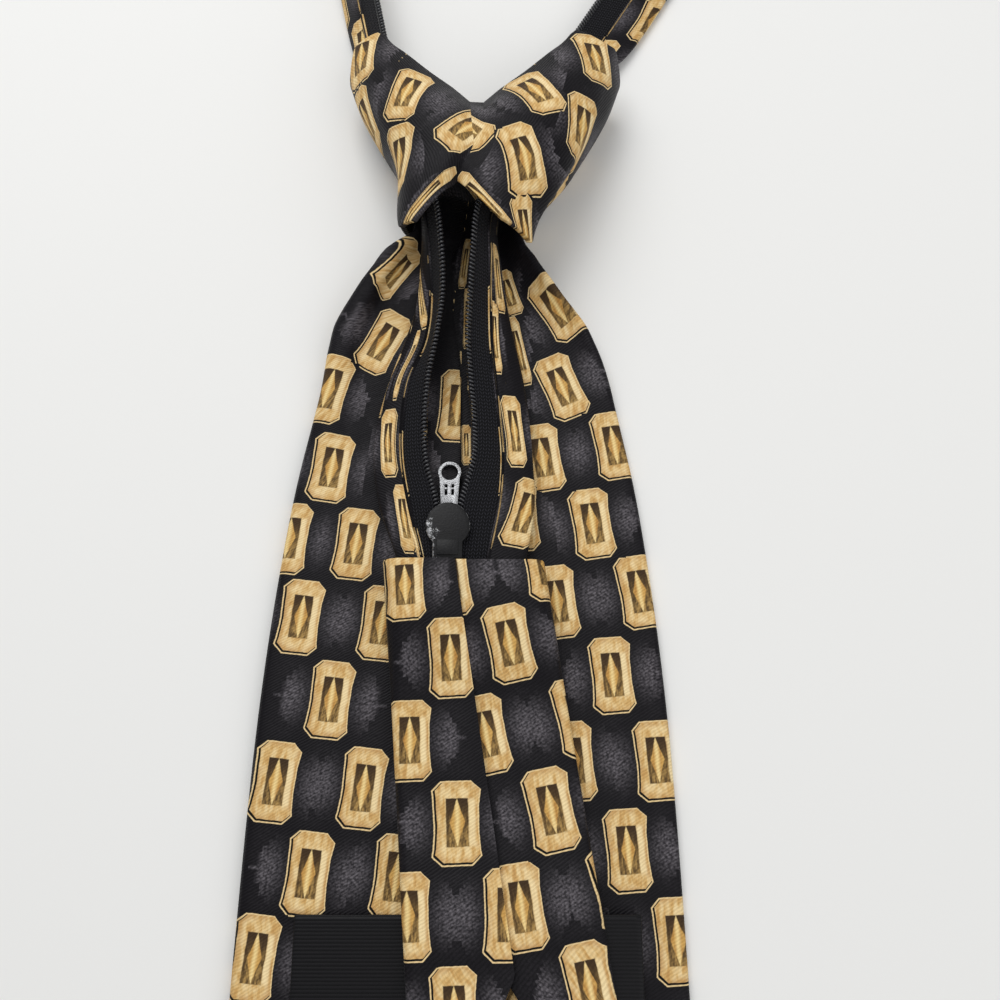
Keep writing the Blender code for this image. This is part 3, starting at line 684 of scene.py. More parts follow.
def knot_rows():
    """The knot's wall, with its places on the flat cloth from the seam either way."""
    around, along = 132, 44
    seam = min(range(around // 2), key=lambda i: abs(
        knot_across(2 * math.pi * i / around, MOUTH_WIDTH / 2) - KNOT_SEAM_X))
    rows, prints = [], []
    for j in range(along + 1):
        share = j / along
        row = []
        for i in range(around):
            point = knot_point(2 * math.pi * i / around, share)
            puff = noise.noise(Vector((point.x / 0.013, point.y / 0.017, 1.3)))
            puff *= KNOT_PUFF * math.sin(math.pi * share)
            row.append(point + Vector((0, 0, puff if point.z > 0.006 else 0.0)))
        places = [{} for _ in range(around)]
        for step, panel in ((1, "right"), (-1, "left")):
            walked = 0.0
            for k in range(around // 2 + 1):
                i = (seam - step * k) % around
                if k:
                    before = row[(i + step) % around]
                    walked += math.hypot(row[i].x - before.x, row[i].z - before.z)
                places[i][panel] = (step * walked, row[i].y)
                places[i]["threads"] = (walked, row[i].y)
        rows.append(row)
        prints.append(places)
    return rows, prints


def band_stations(table, side):
    """Coil, seam and outer edge through the open zip and the knot, then round the neck loop."""
    stations = []
    half = TAIL_WIDTH / 2
    in_slider = [SLIDER_X + side * offset for offset in (ROW_OFFSET, ROW_OFFSET, THROAT_OFFSET)]
    for i, row in enumerate(table):
        y = MOUTH_Y - row[0] * HEM_DROP
        coil_x = in_slider[i] if row[1] is None else row[1] * half
        station = []
        for x, up in zip((coil_x, row[2] * half, row[3] * half), row[4:7]):
            rest = blade_back(x, y) if y <= MOUTH_Y else 0.0
            station.append(Vector((x, y, rest + up * ZIP_LIFT)))
        stations.append(station)
    loop = loop_stations(side)
    leg = loop[0][2] - stations[-1][2]
    outward = Vector((-leg.y, leg.x, 0)).normalized() * -side * LEG_BOW
    for share in (1 / 3, 2 / 3):
        stations.append([a.lerp(b, share) + outward for a, b in zip(stations[len(table) - 1], loop[0])])
    return stations + loop


def loop_stations(side):
    """Stations round half of the neck loop, which stands on its outer edge, to the back of the neck."""
    centre = Vector((LOOP_CENTRE_X, MOUTH_Y + LOOP_CENTRE_DROP, 0))
    first, roll_first = (math.radians(186), LOOP_ROLL) if side < 0 else (math.radians(-27), LOOP_ROLL / 2)
    back = math.radians(80)
    end = back + GAP / LOOP_RADIUS if side < 0 else back
    stations = []
    for i in range(7):
        share = i / 6
        angle = mix(first, end, share)
        roll = mix(roll_first, LOOP_ROLL, ease(share * 1.6))
        out = Vector((math.cos(angle), math.sin(angle), 0))
        lean = -out * math.cos(roll) + Vector((0, 0, math.sin(roll)))
        outer = centre + out * LOOP_RADIUS + Vector((0, 0, BAND_THICKNESS * 0.6))
        stations.append([outer + lean * (LEG_BAND + LEG_TAPE), outer + lean * LEG_BAND, outer])
    return stations


def band_rails(table, side, steps=12):
    stations = band_stations(table, side)
    return [curve_through([station[k] for station in stations], steps) for k in range(3)]


def travelled(rail):
    walked = [0.0]
    for a, b in zip(rail, rail[1:]):
        walked.append(walked[-1] + (b - a).length)
    return walked


def upward(across, along):
    """The side of a strip that faces up, from the way across it and the way along it."""
    normal = across.cross(along).normalized()
    return normal if normal.z > 0 else -normal


# Meshes

def finish_piece(piece, finish, body="tie"):
    piece.data.materials.clear()
    piece.data.materials.append(finish)
    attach(piece, body)
    return piece


def active(piece):
    bpy.ops.object.select_all(action="DESELECT")
    piece.select_set(True)
    bpy.context.view_layer.objects.active = piece


def cloth_mesh(name, rows, prints, wall, painters=None, ring=False, soft_edge=0.00035):
    """A sheet through rows of points, given its wall and a soft cut edge. Each point's place on the flat
    cloth is for its threads, and the painters turn the panels' places into places in the print."""
    mesh = bmesh.new()
    grid = [[mesh.verts.new(point) for point in row] for row in rows]
    threads = mesh.loops.layers.uv.new(THREAD_UV)
    printed = mesh.loops.layers.uv.new(PRINT_UV)
    across = len(rows[0])
    for r in range(len(grid) - 1):
        for i in range(across if ring else across - 1):
            j = (i + 1) % across
            corners = ((r, i), (r, j), (r + 1, j), (r + 1, i))
            face = mesh.faces.new([grid[a][b] for a, b in corners])
            face.smooth = True
            places = [prints[a][b] for a, b in corners]
            for loop, place in zip(face.loops, places):
                loop[threads].uv = place["threads"]
            for panel, paint in (painters or {}).items():
                if all(panel in place for place in places):
                    for loop, spot in zip(face.loops, paint([place[panel] for place in places])):
                        loop[printed].uv = spot
                    break
    data = bpy.data.meshes.new(name)
    mesh.to_mesh(data)
    mesh.free()
    piece = bpy.data.objects.new(name, data)
    bpy.context.collection.objects.link(piece)
    active(piece)
    solidify = piece.modifiers.new("wall", "SOLIDIFY")
    solidify.thickness = wall
    solidify.offset = 0.0
    bpy.ops.object.modifier_apply(modifier=solidify.name)
    if soft_edge:
        bevel = piece.modifiers.new("soft edge", "BEVEL")
        bevel.width = min(soft_edge, wall * 0.42)
        bevel.segments = 2
        bevel.limit_method = "ANGLE"
        bevel.angle_limit = math.radians(55)
        bpy.ops.object.modifier_apply(modifier=bevel.name)
    bpy.ops.object.shade_smooth_by_angle(angle=math.radians(50))
    return piece


# Node groups

class Nodes:
    """Short ways to add a tree's nodes; every value may be a number or another node's socket."""

    def __init__(self, tree):
        self.tree = tree

    def add(self, kind, **settings):
        node = self.tree.nodes.new(kind)
        for key, value in settings.items():
            setattr(node, key, value)
        return node

    def feed(self, socket, value):
        if isinstance(value, bpy.types.NodeSocket):
            self.tree.links.new(value, socket)
        elif value is not None:
            if hasattr(socket.default_value, "__len__") and not hasattr(value, "__len__"):
                value = (value, value, value)
            if socket.type == "RGBA" and len(value) == 3:
                value = (*value, 1.0)
            socket.default_value = value

    def math(self, operation, a, b=None, c=None, clamp=False):
        node = self.add("ShaderNodeMath", operation=operation, use_clamp=clamp)
        for socket, value in zip(node.inputs, (a, b, c)):
            self.feed(socket, value)
        return node.outputs[0]

    def plus(self, a, b):
        return self.math("ADD", a, b)

    def minus(self, a, b):
        return self.math("SUBTRACT", a, b)

    def times(self, a, b, clamp=False):
        return self.math("MULTIPLY", a, b, clamp=clamp)

    def over(self, a, b):
        return self.math("DIVIDE", a, b)

    def size(self, a):
        """The number without its sign."""
        return self.math("ABSOLUTE", a)

    def split(self, vector):
        """The parts of a vector, by X, Y and Z."""
        node = self.add("ShaderNodeSeparateXYZ")
        self.feed(node.inputs[0], vector)
        return node.outputs

    def shaken(self, place, size, detail, reach):
        """How far a slow uneven shake moves each place."""
        _, colour = self.speckle(place, size, detail)
        return self.vector("SCALE", self.vector("SUBTRACT", colour, (0.5, 0.5, 0.5)), scale=reach)

    def blend(self, share, a, b, kind="MIX"):
        node = self.add("ShaderNodeMix", data_type="RGBA", blend_type=kind)
        self.feed(node.inputs["Factor"], share)
        self.feed(node.inputs[6], a)
        self.feed(node.inputs[7], b)
        return node.outputs[2]

    def vector(self, operation, a, b=None, scale=None):
        node = self.add("ShaderNodeVectorMath", operation=operation)
        self.feed(node.inputs[0], a)
        self.feed(node.inputs[1], b)
        if scale is not None:
            self.feed(node.inputs["Scale"], scale)
        return node.outputs[0]

    def step(self, value, low, high):
        """0 where value is at low or past it, 1 at high."""
        node = self.add("ShaderNodeMapRange", clamp=True, interpolation_type="SMOOTHSTEP")
        for name, number in (("Value", value), ("From Min", low), ("From Max", high)):
            self.feed(node.inputs[name], number)
        return node.outputs["Result"]

    def edge(self, distance, level):
        """1 where a distance is under the level, with a soft edge."""
        return self.step(distance, level + SOFT_LINE, level - SOFT_LINE)

    def speckle(self, place, size, detail=3.0, stretch=None, turn=0.0):
        """Even noise whose grains have this size in metres."""
        mapping = self.add("ShaderNodeMapping")
        self.feed(mapping.inputs["Vector"], place)
        mapping.inputs["Rotation"].default_value = (0, 0, turn)
        scale = stretch or (1, 1, 1)
        mapping.inputs["Scale"].default_value = [s / size for s in scale]
        grains = self.add("ShaderNodeTexNoise")
        self.feed(grains.inputs["Vector"], mapping.outputs[0])
        grains.inputs["Scale"].default_value = 1.0
        grains.inputs["Detail"].default_value = detail
        return grains.outputs["Fac"], grains.outputs["Color"]

    def use(self, group, **values):
        node = self.add("ShaderNodeGroup", node_tree=group)
        for name, value in values.items():
            self.feed(node.inputs[name.replace("_", " ")], value)
        return node


def new_group(name, inputs, outputs):
    """An empty node group with named sockets, and its maker."""
    tree = bpy.data.node_groups.new(name, "ShaderNodeTree")
    kinds = {"f": "NodeSocketFloat", "v": "NodeSocketVector", "c": "NodeSocketColor"}
    for label, kind in inputs:
        tree.interface.new_socket(name=label, in_out="INPUT", socket_type=kinds[kind])
    for label, kind in outputs:
        tree.interface.new_socket(name=label, in_out="OUTPUT", socket_type=kinds[kind])
    start = tree.nodes.new("NodeGroupInput")
    end = tree.nodes.new("NodeGroupOutput")
    return tree, Nodes(tree), start.outputs, end.inputs


def octagon_group():
    """How far a place lies outside a waisted octagon, in metres."""
    tree, n, given, out = new_group(
        "waisted octagon", [("X", "f"), ("Y", "f"), ("Half Width", "f"), ("Half Height", "f")],
        [("Outside", "f")])
    across, along = n.size(given["X"]), n.size(given["Y"])
    rise = n.over(along, given["Half Height"])
    waist = n.times(n.minus(1.0, n.times(rise, rise)), MOTIF_WAIST)
    side = n.minus(across, n.times(given["Half Width"], n.minus(1.0, waist)))
    end = n.minus(along, given["Half Height"])
    reach = n.minus(n.plus(given["Half Width"], given["Half Height"]), MOTIF_CHAMFER)
    corner = n.times(n.minus(n.plus(across, along), reach), 0.7071)
    n.feed(out["Outside"], n.math("MAXIMUM", n.math("MAXIMUM", side, end), corner))
    return tree


def print_group(octagon):
    """The silk's repeat: gold motifs and soft light cushions on a dark ground."""
    colours = ("Ground", "Cushion", "Gold", "Cream", "Tan", "Brown", "Olive")
    sizes = ("Repeat Across", "Repeat Along", "Motif Width", "Motif Height")
    inputs = [("Place", "v"), ("Thread Place", "v")] + [(s, "f") for s in sizes] + [(c, "c") for c in colours]
    tree, n, given, out = new_group(
        "foulard print", inputs, [("Colour", "c"), ("Motif", "f"), ("Cushion Mask", "f")])
    place, threads = given["Place"], given["Thread Place"]
    ground, cushion, gold, cream, tan, brown, olive = (given[name] for name in colours)

    # where in the repeat, on lines that waver as a painted print's do
    drift = n.shaken(place, 0.0042, 2.0, 0.0004)
    shake = n.shaken(place, 0.0009, 1.0, 0.00014)
    drawn = n.split(n.vector("ADD", n.vector("ADD", place, drift), shake))
    along = n.over(drawn["Y"], given["Repeat Along"])
    row = n.math("ROUND", n.times(along, 2.0))
    y = n.times(n.minus(along, n.over(row, 2.0)), given["Repeat Along"])
    odd = n.math("FLOORED_MODULO", row, 2.0)
    across = n.plus(n.over(drawn["X"], given["Repeat Across"]), n.times(odd, 0.5))
    x = n.times(n.minus(across, n.math("ROUND", across)), given["Repeat Across"])

    # the motif's edge, its outline and its body, which is nudged up and to the right
    half = {"Half_Width": n.over(given["Motif Width"], 2.0),
            "Half_Height": n.over(given["Motif Height"], 2.0)}
    edge = n.use(octagon, X=x, Y=y, **half).outputs[0]
    inner = n.use(octagon, X=n.minus(x, BODY_NUDGE), Y=n.minus(y, BODY_NUDGE), **half).outputs[0]
    motif = n.edge(edge, 0.0)
    line_end = n.edge(edge, -OUTLINE)
    body = n.edge(inner, -BODY_INSET)

    # the painted body: diagonal strokes from tan to cream
    strokes, _ = n.speckle(threads, 0.0010, 4.0, stretch=(1.0, 0.30, 1.0), turn=0.9)
    patches, _ = n.speckle(threads, 0.0030, 3.0)
    tone = n.plus(n.times(strokes, 0.75), n.times(patches, 0.55))
    paint = n.blend(n.times(n.step(tone, 0.52, 0.82), 0.70), gold, cream)
    paint = n.blend(n.times(n.step(tone, 0.66, 0.42), 0.80), paint, tan)
    shade = n.times(n.step(inner, -0.0019, -0.0005), n.step(patches, 0.36, 0.60))
    paint = n.blend(n.times(shade, 0.75), paint, tan)

    # the rectangle, hatched lighter at one end, and its lozenge
    x_in = n.minus(x, 0.0002)
    y_in = n.minus(y, 0.0001)
    aside, away = n.size(x_in), n.size(y_in)
    box = n.math("MAXIMUM", n.minus(aside, RECTANGLE_HALF), n.minus(away, RECTANGLE_RISE))
    rectangle = n.edge(box, 0.0)
    fade = n.step(y_in, RECTANGLE_RISE, -RECTANGLE_RISE * 0.9)
    hatch, _ = n.speckle(threads, 0.0005, 3.0, stretch=(1.0, 0.3, 1.0), turn=-0.6)
    hatched = n.times(fade, n.plus(n.times(n.step(hatch, 0.34, 0.66), 0.85), 0.18), clamp=True)
    inside = n.blend(hatched, brown, olive)
    lozenge_out = n.minus(n.plus(n.over(aside, LOZENGE_HALF), n.over(away, RECTANGLE_RISE)), 1.0)
    lozenge = n.step(lozenge_out, 0.09, -0.10)
    stone = n.blend(n.step(strokes, 0.34, 0.62), tan, gold)
    stone = n.blend(n.step(aside, 0.0008, 0.0), stone, cream)
    stone = n.blend(1.0, stone, (1.0, 0.93, 0.72), "MULTIPLY")
    rim = n.step(n.size(n.plus(x_in, 0.0018)), 0.00045, 0.0001)
    inside = n.blend(n.times(rim, 0.5), inside, brown)
    inside = n.blend(n.times(lozenge, 0.93), inside, stone)

    # a lit strip beside the rectangle, and a thin line round it
    strip = n.times(n.step(n.size(n.minus(x, 0.0030)), 0.0009, 0.0003), n.step(away, 0.0052, 0.0040))
    paint = n.blend(n.times(strip, 0.75), paint, cream)
    corner_line = n.step(n.size(box), 0.00018, 0.00004)
    paint = n.blend(n.times(corner_line, 0.35), paint, brown)
    painted = n.blend(rectangle, paint, inside)

    # the ground with its cushions, halfway between the motifs of a row
    wide = n.over(n.minus(n.over(given["Repeat Across"], 2.0), n.size(x)), CUSHION_WIDE)
    tall = n.over(y, CUSHION_TALL)
    bulge = n.plus(n.times(wide, wide), n.times(tall, tall))
    swell = n.math("POWER", 2.718, n.times(n.math("POWER", bulge, 1.25), -1.0))
    mottle, _ = n.speckle(threads, 0.0006, 4.0)
    cloud, _ = n.speckle(threads, 0.0032, 2.0)
    mottled = n.times(swell, n.plus(n.step(mottle, 0.32, 0.72), n.times(cloud, 0.35)), clamp=True)
    black = n.blend(1.0, ground, (0.35, 0.35, 0.35), "MULTIPLY")
    contour = n.blend(0.45, cream, gold)
    lined = n.blend(body, n.blend(line_end, contour, black), painted)
    n.feed(out["Colour"], n.blend(motif, n.blend(mottled, ground, cushion), lined))
    n.feed(out["Motif"], motif)
    n.feed(out["Cushion Mask"], swell)
    return tree


def ribs_group():
    """Fine diagonal ribs of a twill, uneven as threads are."""
    tree, n, given, out = new_group(
        "twill ribs", [("Place", "v"), ("Spacing", "f"), ("Turn", "f"), ("Uneven", "f")],
        [("Rib", "f"), ("Thread", "f")])
    turned = n.add("ShaderNodeVectorRotate", rotation_type="Z_AXIS")
    n.feed(turned.inputs["Vector"], given["Place"])
    n.feed(turned.inputs["Angle"], given["Turn"])
    uneven, _ = n.speckle(given["Place"], 0.0016, 2.0)
    line = n.plus(n.split(turned.outputs[0])["Y"], n.times(uneven, given["Uneven"]))
    wave = n.math("SINE", n.over(n.times(line, 2 * math.pi), given["Spacing"]))
    thread, _ = n.speckle(turned.outputs[0], 0.0004, 3.0, stretch=(0.22, 1.0, 1.0))
    n.feed(out["Rib"], n.plus(n.times(wave, 0.5), 0.5))
    n.feed(out["Thread"], thread)
    return tree


def knit_group():
    """Herringbone of a woven zip tape: slanting stitches that turn at each wale."""
    tree, n, given, out = new_group(
        "herringbone", [("Place", "v"), ("Wale", "f"), ("Course", "f")], [("Height", "f"), ("Fleck", "f")])
    place = n.split(given["Place"])
    across = n.math("PINGPONG", place["X"], given["Wale"])
    line = n.plus(place["Y"], n.times(across, 1.1))
    stitch = n.math("SINE", n.over(n.times(line, 2 * math.pi), given["Course"]))
    valley = n.math("SINE", n.over(n.times(place["X"], math.pi), given["Wale"]))
    height = n.plus(n.times(stitch, 0.5), n.times(n.size(valley), 0.9))
    fleck, _ = n.speckle(given["Place"], 0.00028, 2.0)
    n.feed(out["Height"], n.plus(height, n.times(fleck, 0.5)))
    n.feed(out["Fleck"], fleck)
    return tree


def wear_group():
    """Scratches and rubbed patches, more of them where a mask says."""
    tree, n, given, out = new_group(
        "wear", [("Place", "v"), ("Where", "f"), ("Grain", "f")], [("Bare", "f"), ("Scratch", "f")])
    coarse, _ = n.speckle(given["Place"], 0.0011, 5.0)
    fine, _ = n.speckle(given["Place"], 0.00022, 4.0)
    both = n.plus(n.times(coarse, 0.6), n.times(fine, given["Grain"]))
    level = n.plus(both, given["Where"])
    n.feed(out["Bare"], n.step(level, 0.98, 1.10))
    lines, _ = n.speckle(given["Place"], 0.0003, 2.0, stretch=(0.2, 1.6, 1.0), turn=0.4)
    n.feed(out["Scratch"], n.step(lines, 0.56, 0.72))
    return tree


def new_material(name):
    made = bpy.data.materials.new(name)
    made.use_nodes = True
    tree = made.node_tree
    shader = tree.nodes["Principled BSDF"]
    return made, Nodes(tree), shader


def cloth_place(n, layer=THREAD_UV):
    return n.add("ShaderNodeUVMap", uv_map=layer).outputs[0]


def object_place(n):
    return n.add("ShaderNodeTexCoord").outputs["Object"]


def surface(n, shader, colour, grain, spread, least, height, depth, **plain):
    """Feeds a material's colour, its roughness from least up by a grain's spread, and its relief."""
    n.feed(shader.inputs["Base Color"], colour)
    n.feed(shader.inputs["Roughness"], n.plus(n.times(grain, spread), least))
    if height is not None:
        bump = n.add("ShaderNodeBump")
        bump.inputs["Distance"].default_value = depth
        n.feed(bump.inputs["Height"], height)
        n.feed(shader.inputs["Normal"], bump.outputs[0])
    for name, value in plain.items():
        shader.inputs[name.replace("_", " ")].default_value = value


def silk_material(groups, turn, name):
    settings = bpy.context.scene.tie_print
    made, n, shader = new_material(name)
    place = cloth_place(n)
    sizes = ("repeat_across", "repeat_along", "motif_width", "motif_height")
    colours = ("ground", "cushion", "gold", "cream", "tan", "brown", "olive")
    values = {size.title(): getattr(settings, size) for size in sizes}
    values.update({colour.title(): tuple(getattr(settings, colour)) for colour in colours})
    printed = n.use(groups["print"], Place=cloth_place(n, PRINT_UV), Thread_Place=place, **values).outputs
    ribs = n.use(groups["ribs"], Place=place, Spacing=settings.twill, Turn=turn, Uneven=0.0005).outputs
    rib, thread, motif = ribs["Rib"], ribs["Thread"], printed["Motif"]
    lit = n.step(n.plus(n.times(rib, 0.55), n.times(thread, 0.6)), 0.25, 0.85)
    tint = n.blend(lit, n.blend(motif, (0.70, 0.70, 0.72), (0.90, 0.88, 0.84)),
                   n.blend(motif, (1.30, 1.30, 1.31), (1.08, 1.07, 1.05)))
    colour = n.blend(1.0, printed["Colour"], tint, "MULTIPLY")
    height = n.plus(n.times(rib, 0.7), n.times(thread, 0.6))
    height = n.plus(height, n.times(printed["Cushion Mask"], 2.2))
    rough = n.plus(n.times(motif, 0.10), n.times(thread, 0.22))
    surface(n, shader, colour, rough, 1.0, 0.40, height, 0.00007,
            Sheen_Weight=0.03, Sheen_Roughness=0.4, Specular_IOR_Level=0.13)
    return made


def lining_material(groups):
    made, n, shader = new_material("plain lining")
    ribs = n.use(groups["ribs"], Place=cloth_place(n), Spacing=0.0005, Turn=0.6, Uneven=0.0003).outputs
    colour = n.blend(ribs["Thread"], srgb(10, 10, 12), srgb(28, 27, 31))
    surface(n, shader, colour, ribs["Thread"], 0.3, 0.38, ribs["Rib"], 0.00004,
            Sheen_Weight=0.02, Specular_IOR_Level=0.15)
    return made


def ribbon_material(groups):
    """Black satin ribbon with fine ribs across it."""
    made, n, shader = new_material("ribbed ribbon")
    ribs = n.use(groups["ribs"], Place=cloth_place(n), Spacing=0.0007, Turn=0.0, Uneven=0.00005).outputs
    # painted highlight: each rib's top is painted lighter than its valley, as light falling on the ribs would
    # show
    colour = n.blend(n.times(ribs["Rib"], 0.8), srgb(9, 9, 11), srgb(24, 23, 26))
    surface(n, shader, colour, ribs["Thread"], 0.25, 0.30, ribs["Rib"], 0.00004,
            Sheen_Weight=0.02, Specular_IOR_Level=0.15)
    return made


def tape_material(groups):
    settings = bpy.context.scene.tie_zip
    made, n, shader = new_material("zip tape")
    knit = n.use(groups["knit"], Place=cloth_place(n), Wale=0.00062, Course=0.00085).outputs
    lit = n.step(knit["Height"], 0.8, 1.75)
    colour = n.blend(n.times(lit, 0.8), tuple(settings.tape), srgb(52, 52, 58))
    surface(n, shader, colour, knit["Fleck"], 0.2, 0.66, knit["Height"], 0.00014,
            Sheen_Weight=0.02, Specular_IOR_Level=0.14)
    return made


def coil_material(groups):
    settings = bpy.context.scene.tie_zip
    made, n, shader = new_material("zip coil")
    dust, _ = n.speckle(object_place(n), 0.0008, 3.0)
    colour = n.blend(dust, tuple(settings.coil), srgb(34, 35, 42))
    surface(n, shader, colour, dust, 0.2, 0.20, dust, 0.00003, Specular_IOR_Level=0.75)
    return made


def slider_material(groups):
    """Black paint, rubbed to bare metal where the attribute says."""
    settings = bpy.context.scene.tie_zip
    made, n, shader = new_material("slider paint")
    place = object_place(n)
    rubbed = n.add("ShaderNodeAttribute", attribute_name="rubbed", attribute_type="GEOMETRY").outputs["Fac"]
    bare = n.use(groups["wear"], Place=place, Where=rubbed, Grain=0.5).outputs["Bare"]
    fine, _ = n.speckle(place, 0.0004, 4.0)
    paint = n.blend(n.times(fine, 0.7), tuple(settings.paint), srgb(30, 30, 32))
    n.feed(shader.inputs["Metallic"], bare)
    surface(n, shader, n.blend(bare, paint, tuple(settings.metal)), fine, 0.3, 0.30,
            n.plus(fine, n.times(bare, -0.8)), 0.00005, Specular_IOR_Level=0.22)
    return made


def tab_material(groups):
    """Bright metal, scuffed dark in speckles."""
    settings = bpy.context.scene.tie_zip
    made, n, shader = new_material("worn metal")
    place = object_place(n)
    scratch = n.use(groups["wear"], Place=place, Where=0.42, Grain=0.55).outputs["Scratch"]
    fine, _ = n.speckle(place, 0.00018, 4.0)
    dark = n.times(n.step(fine, 0.50, 0.62), 0.8)
    colour = n.blend(dark, tuple(settings.metal), srgb(70, 70, 74))
    colour = n.blend(n.times(scratch, 0.5), colour, srgb(110, 110, 114))
    n.feed(shader.inputs["Metallic"], n.minus(1.0, n.times(dark, 0.5)))
    surface(n, shader, colour, fine, 0.35, 0.30, fine, 0.00004)
    return made


def floor_material():
    made, n, shader = new_material("floor")
    cloud, _ = n.speckle(object_place(n), 0.35, 2.0)
    colour = n.blend(n.times(cloud, 0.12), tuple(bpy.context.scene.tie_stage.floor), srgb(226, 227, 228))
    surface(n, shader, colour, cloud, 0.1, 0.75, None, 0.0)
    return made


def finishes():
    """Every material of the tie, made once."""
    if "printed silk" not in bpy.data.materials:
        groups = {"ribs": ribs_group(), "knit": knit_group(), "wear": wear_group()}
        groups["print"] = print_group(octagon_group())
        silk_material(groups, math.radians(-32), "printed silk")
        silk_material(groups, math.radians(-58), "printed silk steep")
        for make in (lining_material, ribbon_material, tape_material, coil_material, slider_material,
                     tab_material):
            make(groups)
    return bpy.data.materials


# Pieces

def flat_prints(rows):
    return [[{"threads": (point.x, point.y)} for point in row] for row in rows]


class TIE_OT_blade(bpy.types.Operator):
    """The wide blade, folded over at both sides and gathered into the knot, with its lining"""

    bl_idname = "tie.blade"
    bl_label = "Blade"

    def execute(self, context):
        finish = finishes()
        rows, prints = blade_rows()
        right = drawn_within(right=BLADE_DRAWN_X, bottom=BLADE_DRAWN_Y)
        left = drawn_within(bottom=BLADE_DRAWN_Y)
        painters = {"right": painter(BLADE_RIGHT_MOTIFS, BLADE_RIGHT_LATTICE, right),
                    "left": painter(BLADE_LEFT_MOTIFS, BLADE_LEFT_LATTICE, left),
                    "front": painter((), BLADE_LEFT_LATTICE, drawn_nowhere)}
        blade = cloth_mesh("blade_silk", rows, prints, CLOTH, painters)
        finish_piece(blade, finish["printed silk"])
        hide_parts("blade")
        tip = MOUTH_Y - BLADE_LENGTH
        corner = tip + BLADE_WIDTH / 2
        level = CLOTH + GAP + CLOTH / 2
        rows = lining_rows(corner + BLADE_OPENING, corner, tip, blade_half_width, lambda y: 0.0,
                           BLADE_OVERLAP, lambda y: level, 40)
        lining = cloth_mesh("blade_lining_cloth", rows, flat_prints(rows), CLOTH)
        finish_piece(lining, finish["plain lining"])
        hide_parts("blade_lining")
        return {"FINISHED"}


class TIE_OT_tail(bpy.types.Operator):
    """The narrow tail on the blade's back, with its lining"""

    bl_idname = "tie.tail"
    bl_label = "Tail"

    def execute(self, context):
        finish = finishes()
        rows, prints = tail_rows()
        right = drawn_within(right=TAIL_DRAWN_X, bottom=TAIL_DRAWN_Y)
        left = drawn_within(bottom=TAIL_DRAWN_Y)
        painters = {"right": painter(TAIL_RIGHT_MOTIFS, TAIL_LATTICE, right),
                    "left": painter(TAIL_LEFT_MOTIFS, TAIL_LATTICE, left),
                    "front": painter((), TAIL_LATTICE, drawn_nowhere)}
        tail = cloth_mesh("tail_silk", rows, prints, CLOTH, painters)
        finish_piece(tail, finish["printed silk"])
        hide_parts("tail")
        tip = HEM_Y - TAIL_LENGTH
        corner = tip + TAIL_WIDTH / 2
        level = CLOTH * 1.5 + GAP
        rows = lining_rows(corner + TAIL_OPENING * 0.65, corner, tip, tail_half_width, tail_centre,
                           TAIL_OVERLAP, lambda y: tail_base(y) + level, 40)
        lining = cloth_mesh("tail_lining_cloth", rows, flat_prints(rows), CLOTH)
        finish_piece(lining, finish["plain lining"])
        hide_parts("tail_lining")
        return {"FINISHED"}


class TIE_OT_label(bpy.types.Operator):
    """The plain ribbon across the blade's back"""

    bl_idname = "tie.label"
    bl_label = "Label ribbon"

    def execute(self, context):
        finish = finishes()
        top = MOUTH_Y - LABEL_DROP
        level = BLADE_TOP + GAP + CLOTH / 2
        rows = []
        for j in range(25):
            y = top - LABEL_HEIGHT * j / 24
            across = [mix(-0.5, 0.5, i / 60) * LABEL_WIDTH + LABEL_X for i in range(61)]
            rows.append([Vector((x, y, level)) for x in across])
        label = cloth_mesh("label_ribbon_cloth", rows, flat_prints(rows), CLOTH)
        finish_piece(label, finish["ribbed ribbon"])
        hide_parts("label_loop")
        return {"FINISHED"}


class TIE_OT_knot(bpy.types.Operator):
    """The hollow wrapped knot"""

    bl_idname = "tie.knot"
    bl_label = "Knot"

    def execute(self, context):
        finish = finishes()
        rows, prints = knot_rows()
        painters = {"right": painter(KNOT_RIGHT_MOTIFS, KNOT_LATTICE, drawn_within(right=KNOT_DRAWN_RIGHT)),
                    "left": painter(KNOT_LEFT_MOTIFS, KNOT_LATTICE, drawn_within(left=KNOT_DRAWN_LEFT))}
        knot = cloth_mesh("knot_silk", rows, prints, KNOT_WALL, painters, ring=True, soft_edge=0.0006)
        finish_piece(knot, finish["printed silk steep"])
        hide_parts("knot")
        return {"FINISHED"}


def band_ring(seam, outer, walked):
    """A flattened tube of folded cloth between its seam and its outer edge."""
    wall = 0.0005
    half = BAND_THICKNESS / 2 - wall / 2
    rows, prints = [], []
    top, turn_steps = 8, 4
    for k, (a, b) in enumerate(zip(seam, outer)):
        width = (b - a).length
        across = (b - a) / width
        near = seam[min(k + 1, len(seam) - 1)] - seam[max(k - 1, 0)]
        far = outer[min(k + 1, len(outer) - 1)] - outer[max(k - 1, 0)]
        up = upward(across, (near + far).normalized())
        inset = half + GAP / 2
        flat = width - inset - half
        profile = []
        for i in range(top + 1):
            share = i / top
            profile.append((inset + flat * share, half + 0.00018 * math.sin(math.pi * share)))
        for i in range(1, turn_steps):
            turn = math.pi / 2 - math.pi * i / turn_steps
            profile.append((width - half + half * math.cos(turn), half * math.sin(turn)))
        for i in range(top + 1):
            profile.append((inset + flat * (1 - i / top), -half))
        for i in range(1, turn_steps):
            turn = -math.pi / 2 - math.pi * i / turn_steps
            profile.append((inset + half * math.cos(turn), half * math.sin(turn)))
        row, places, way = [], [], 0.0
        for i, (u, d) in enumerate(profile):
            if i:
                way += math.hypot(u - profile[i - 1][0], d - profile[i - 1][1])
            row.append(a + across * u + up * d)
            places.append({"threads": (way, walked[k]), "band": (way, walked[k])})
        rows.append(row)
        prints.append(places)
    return rows, prints


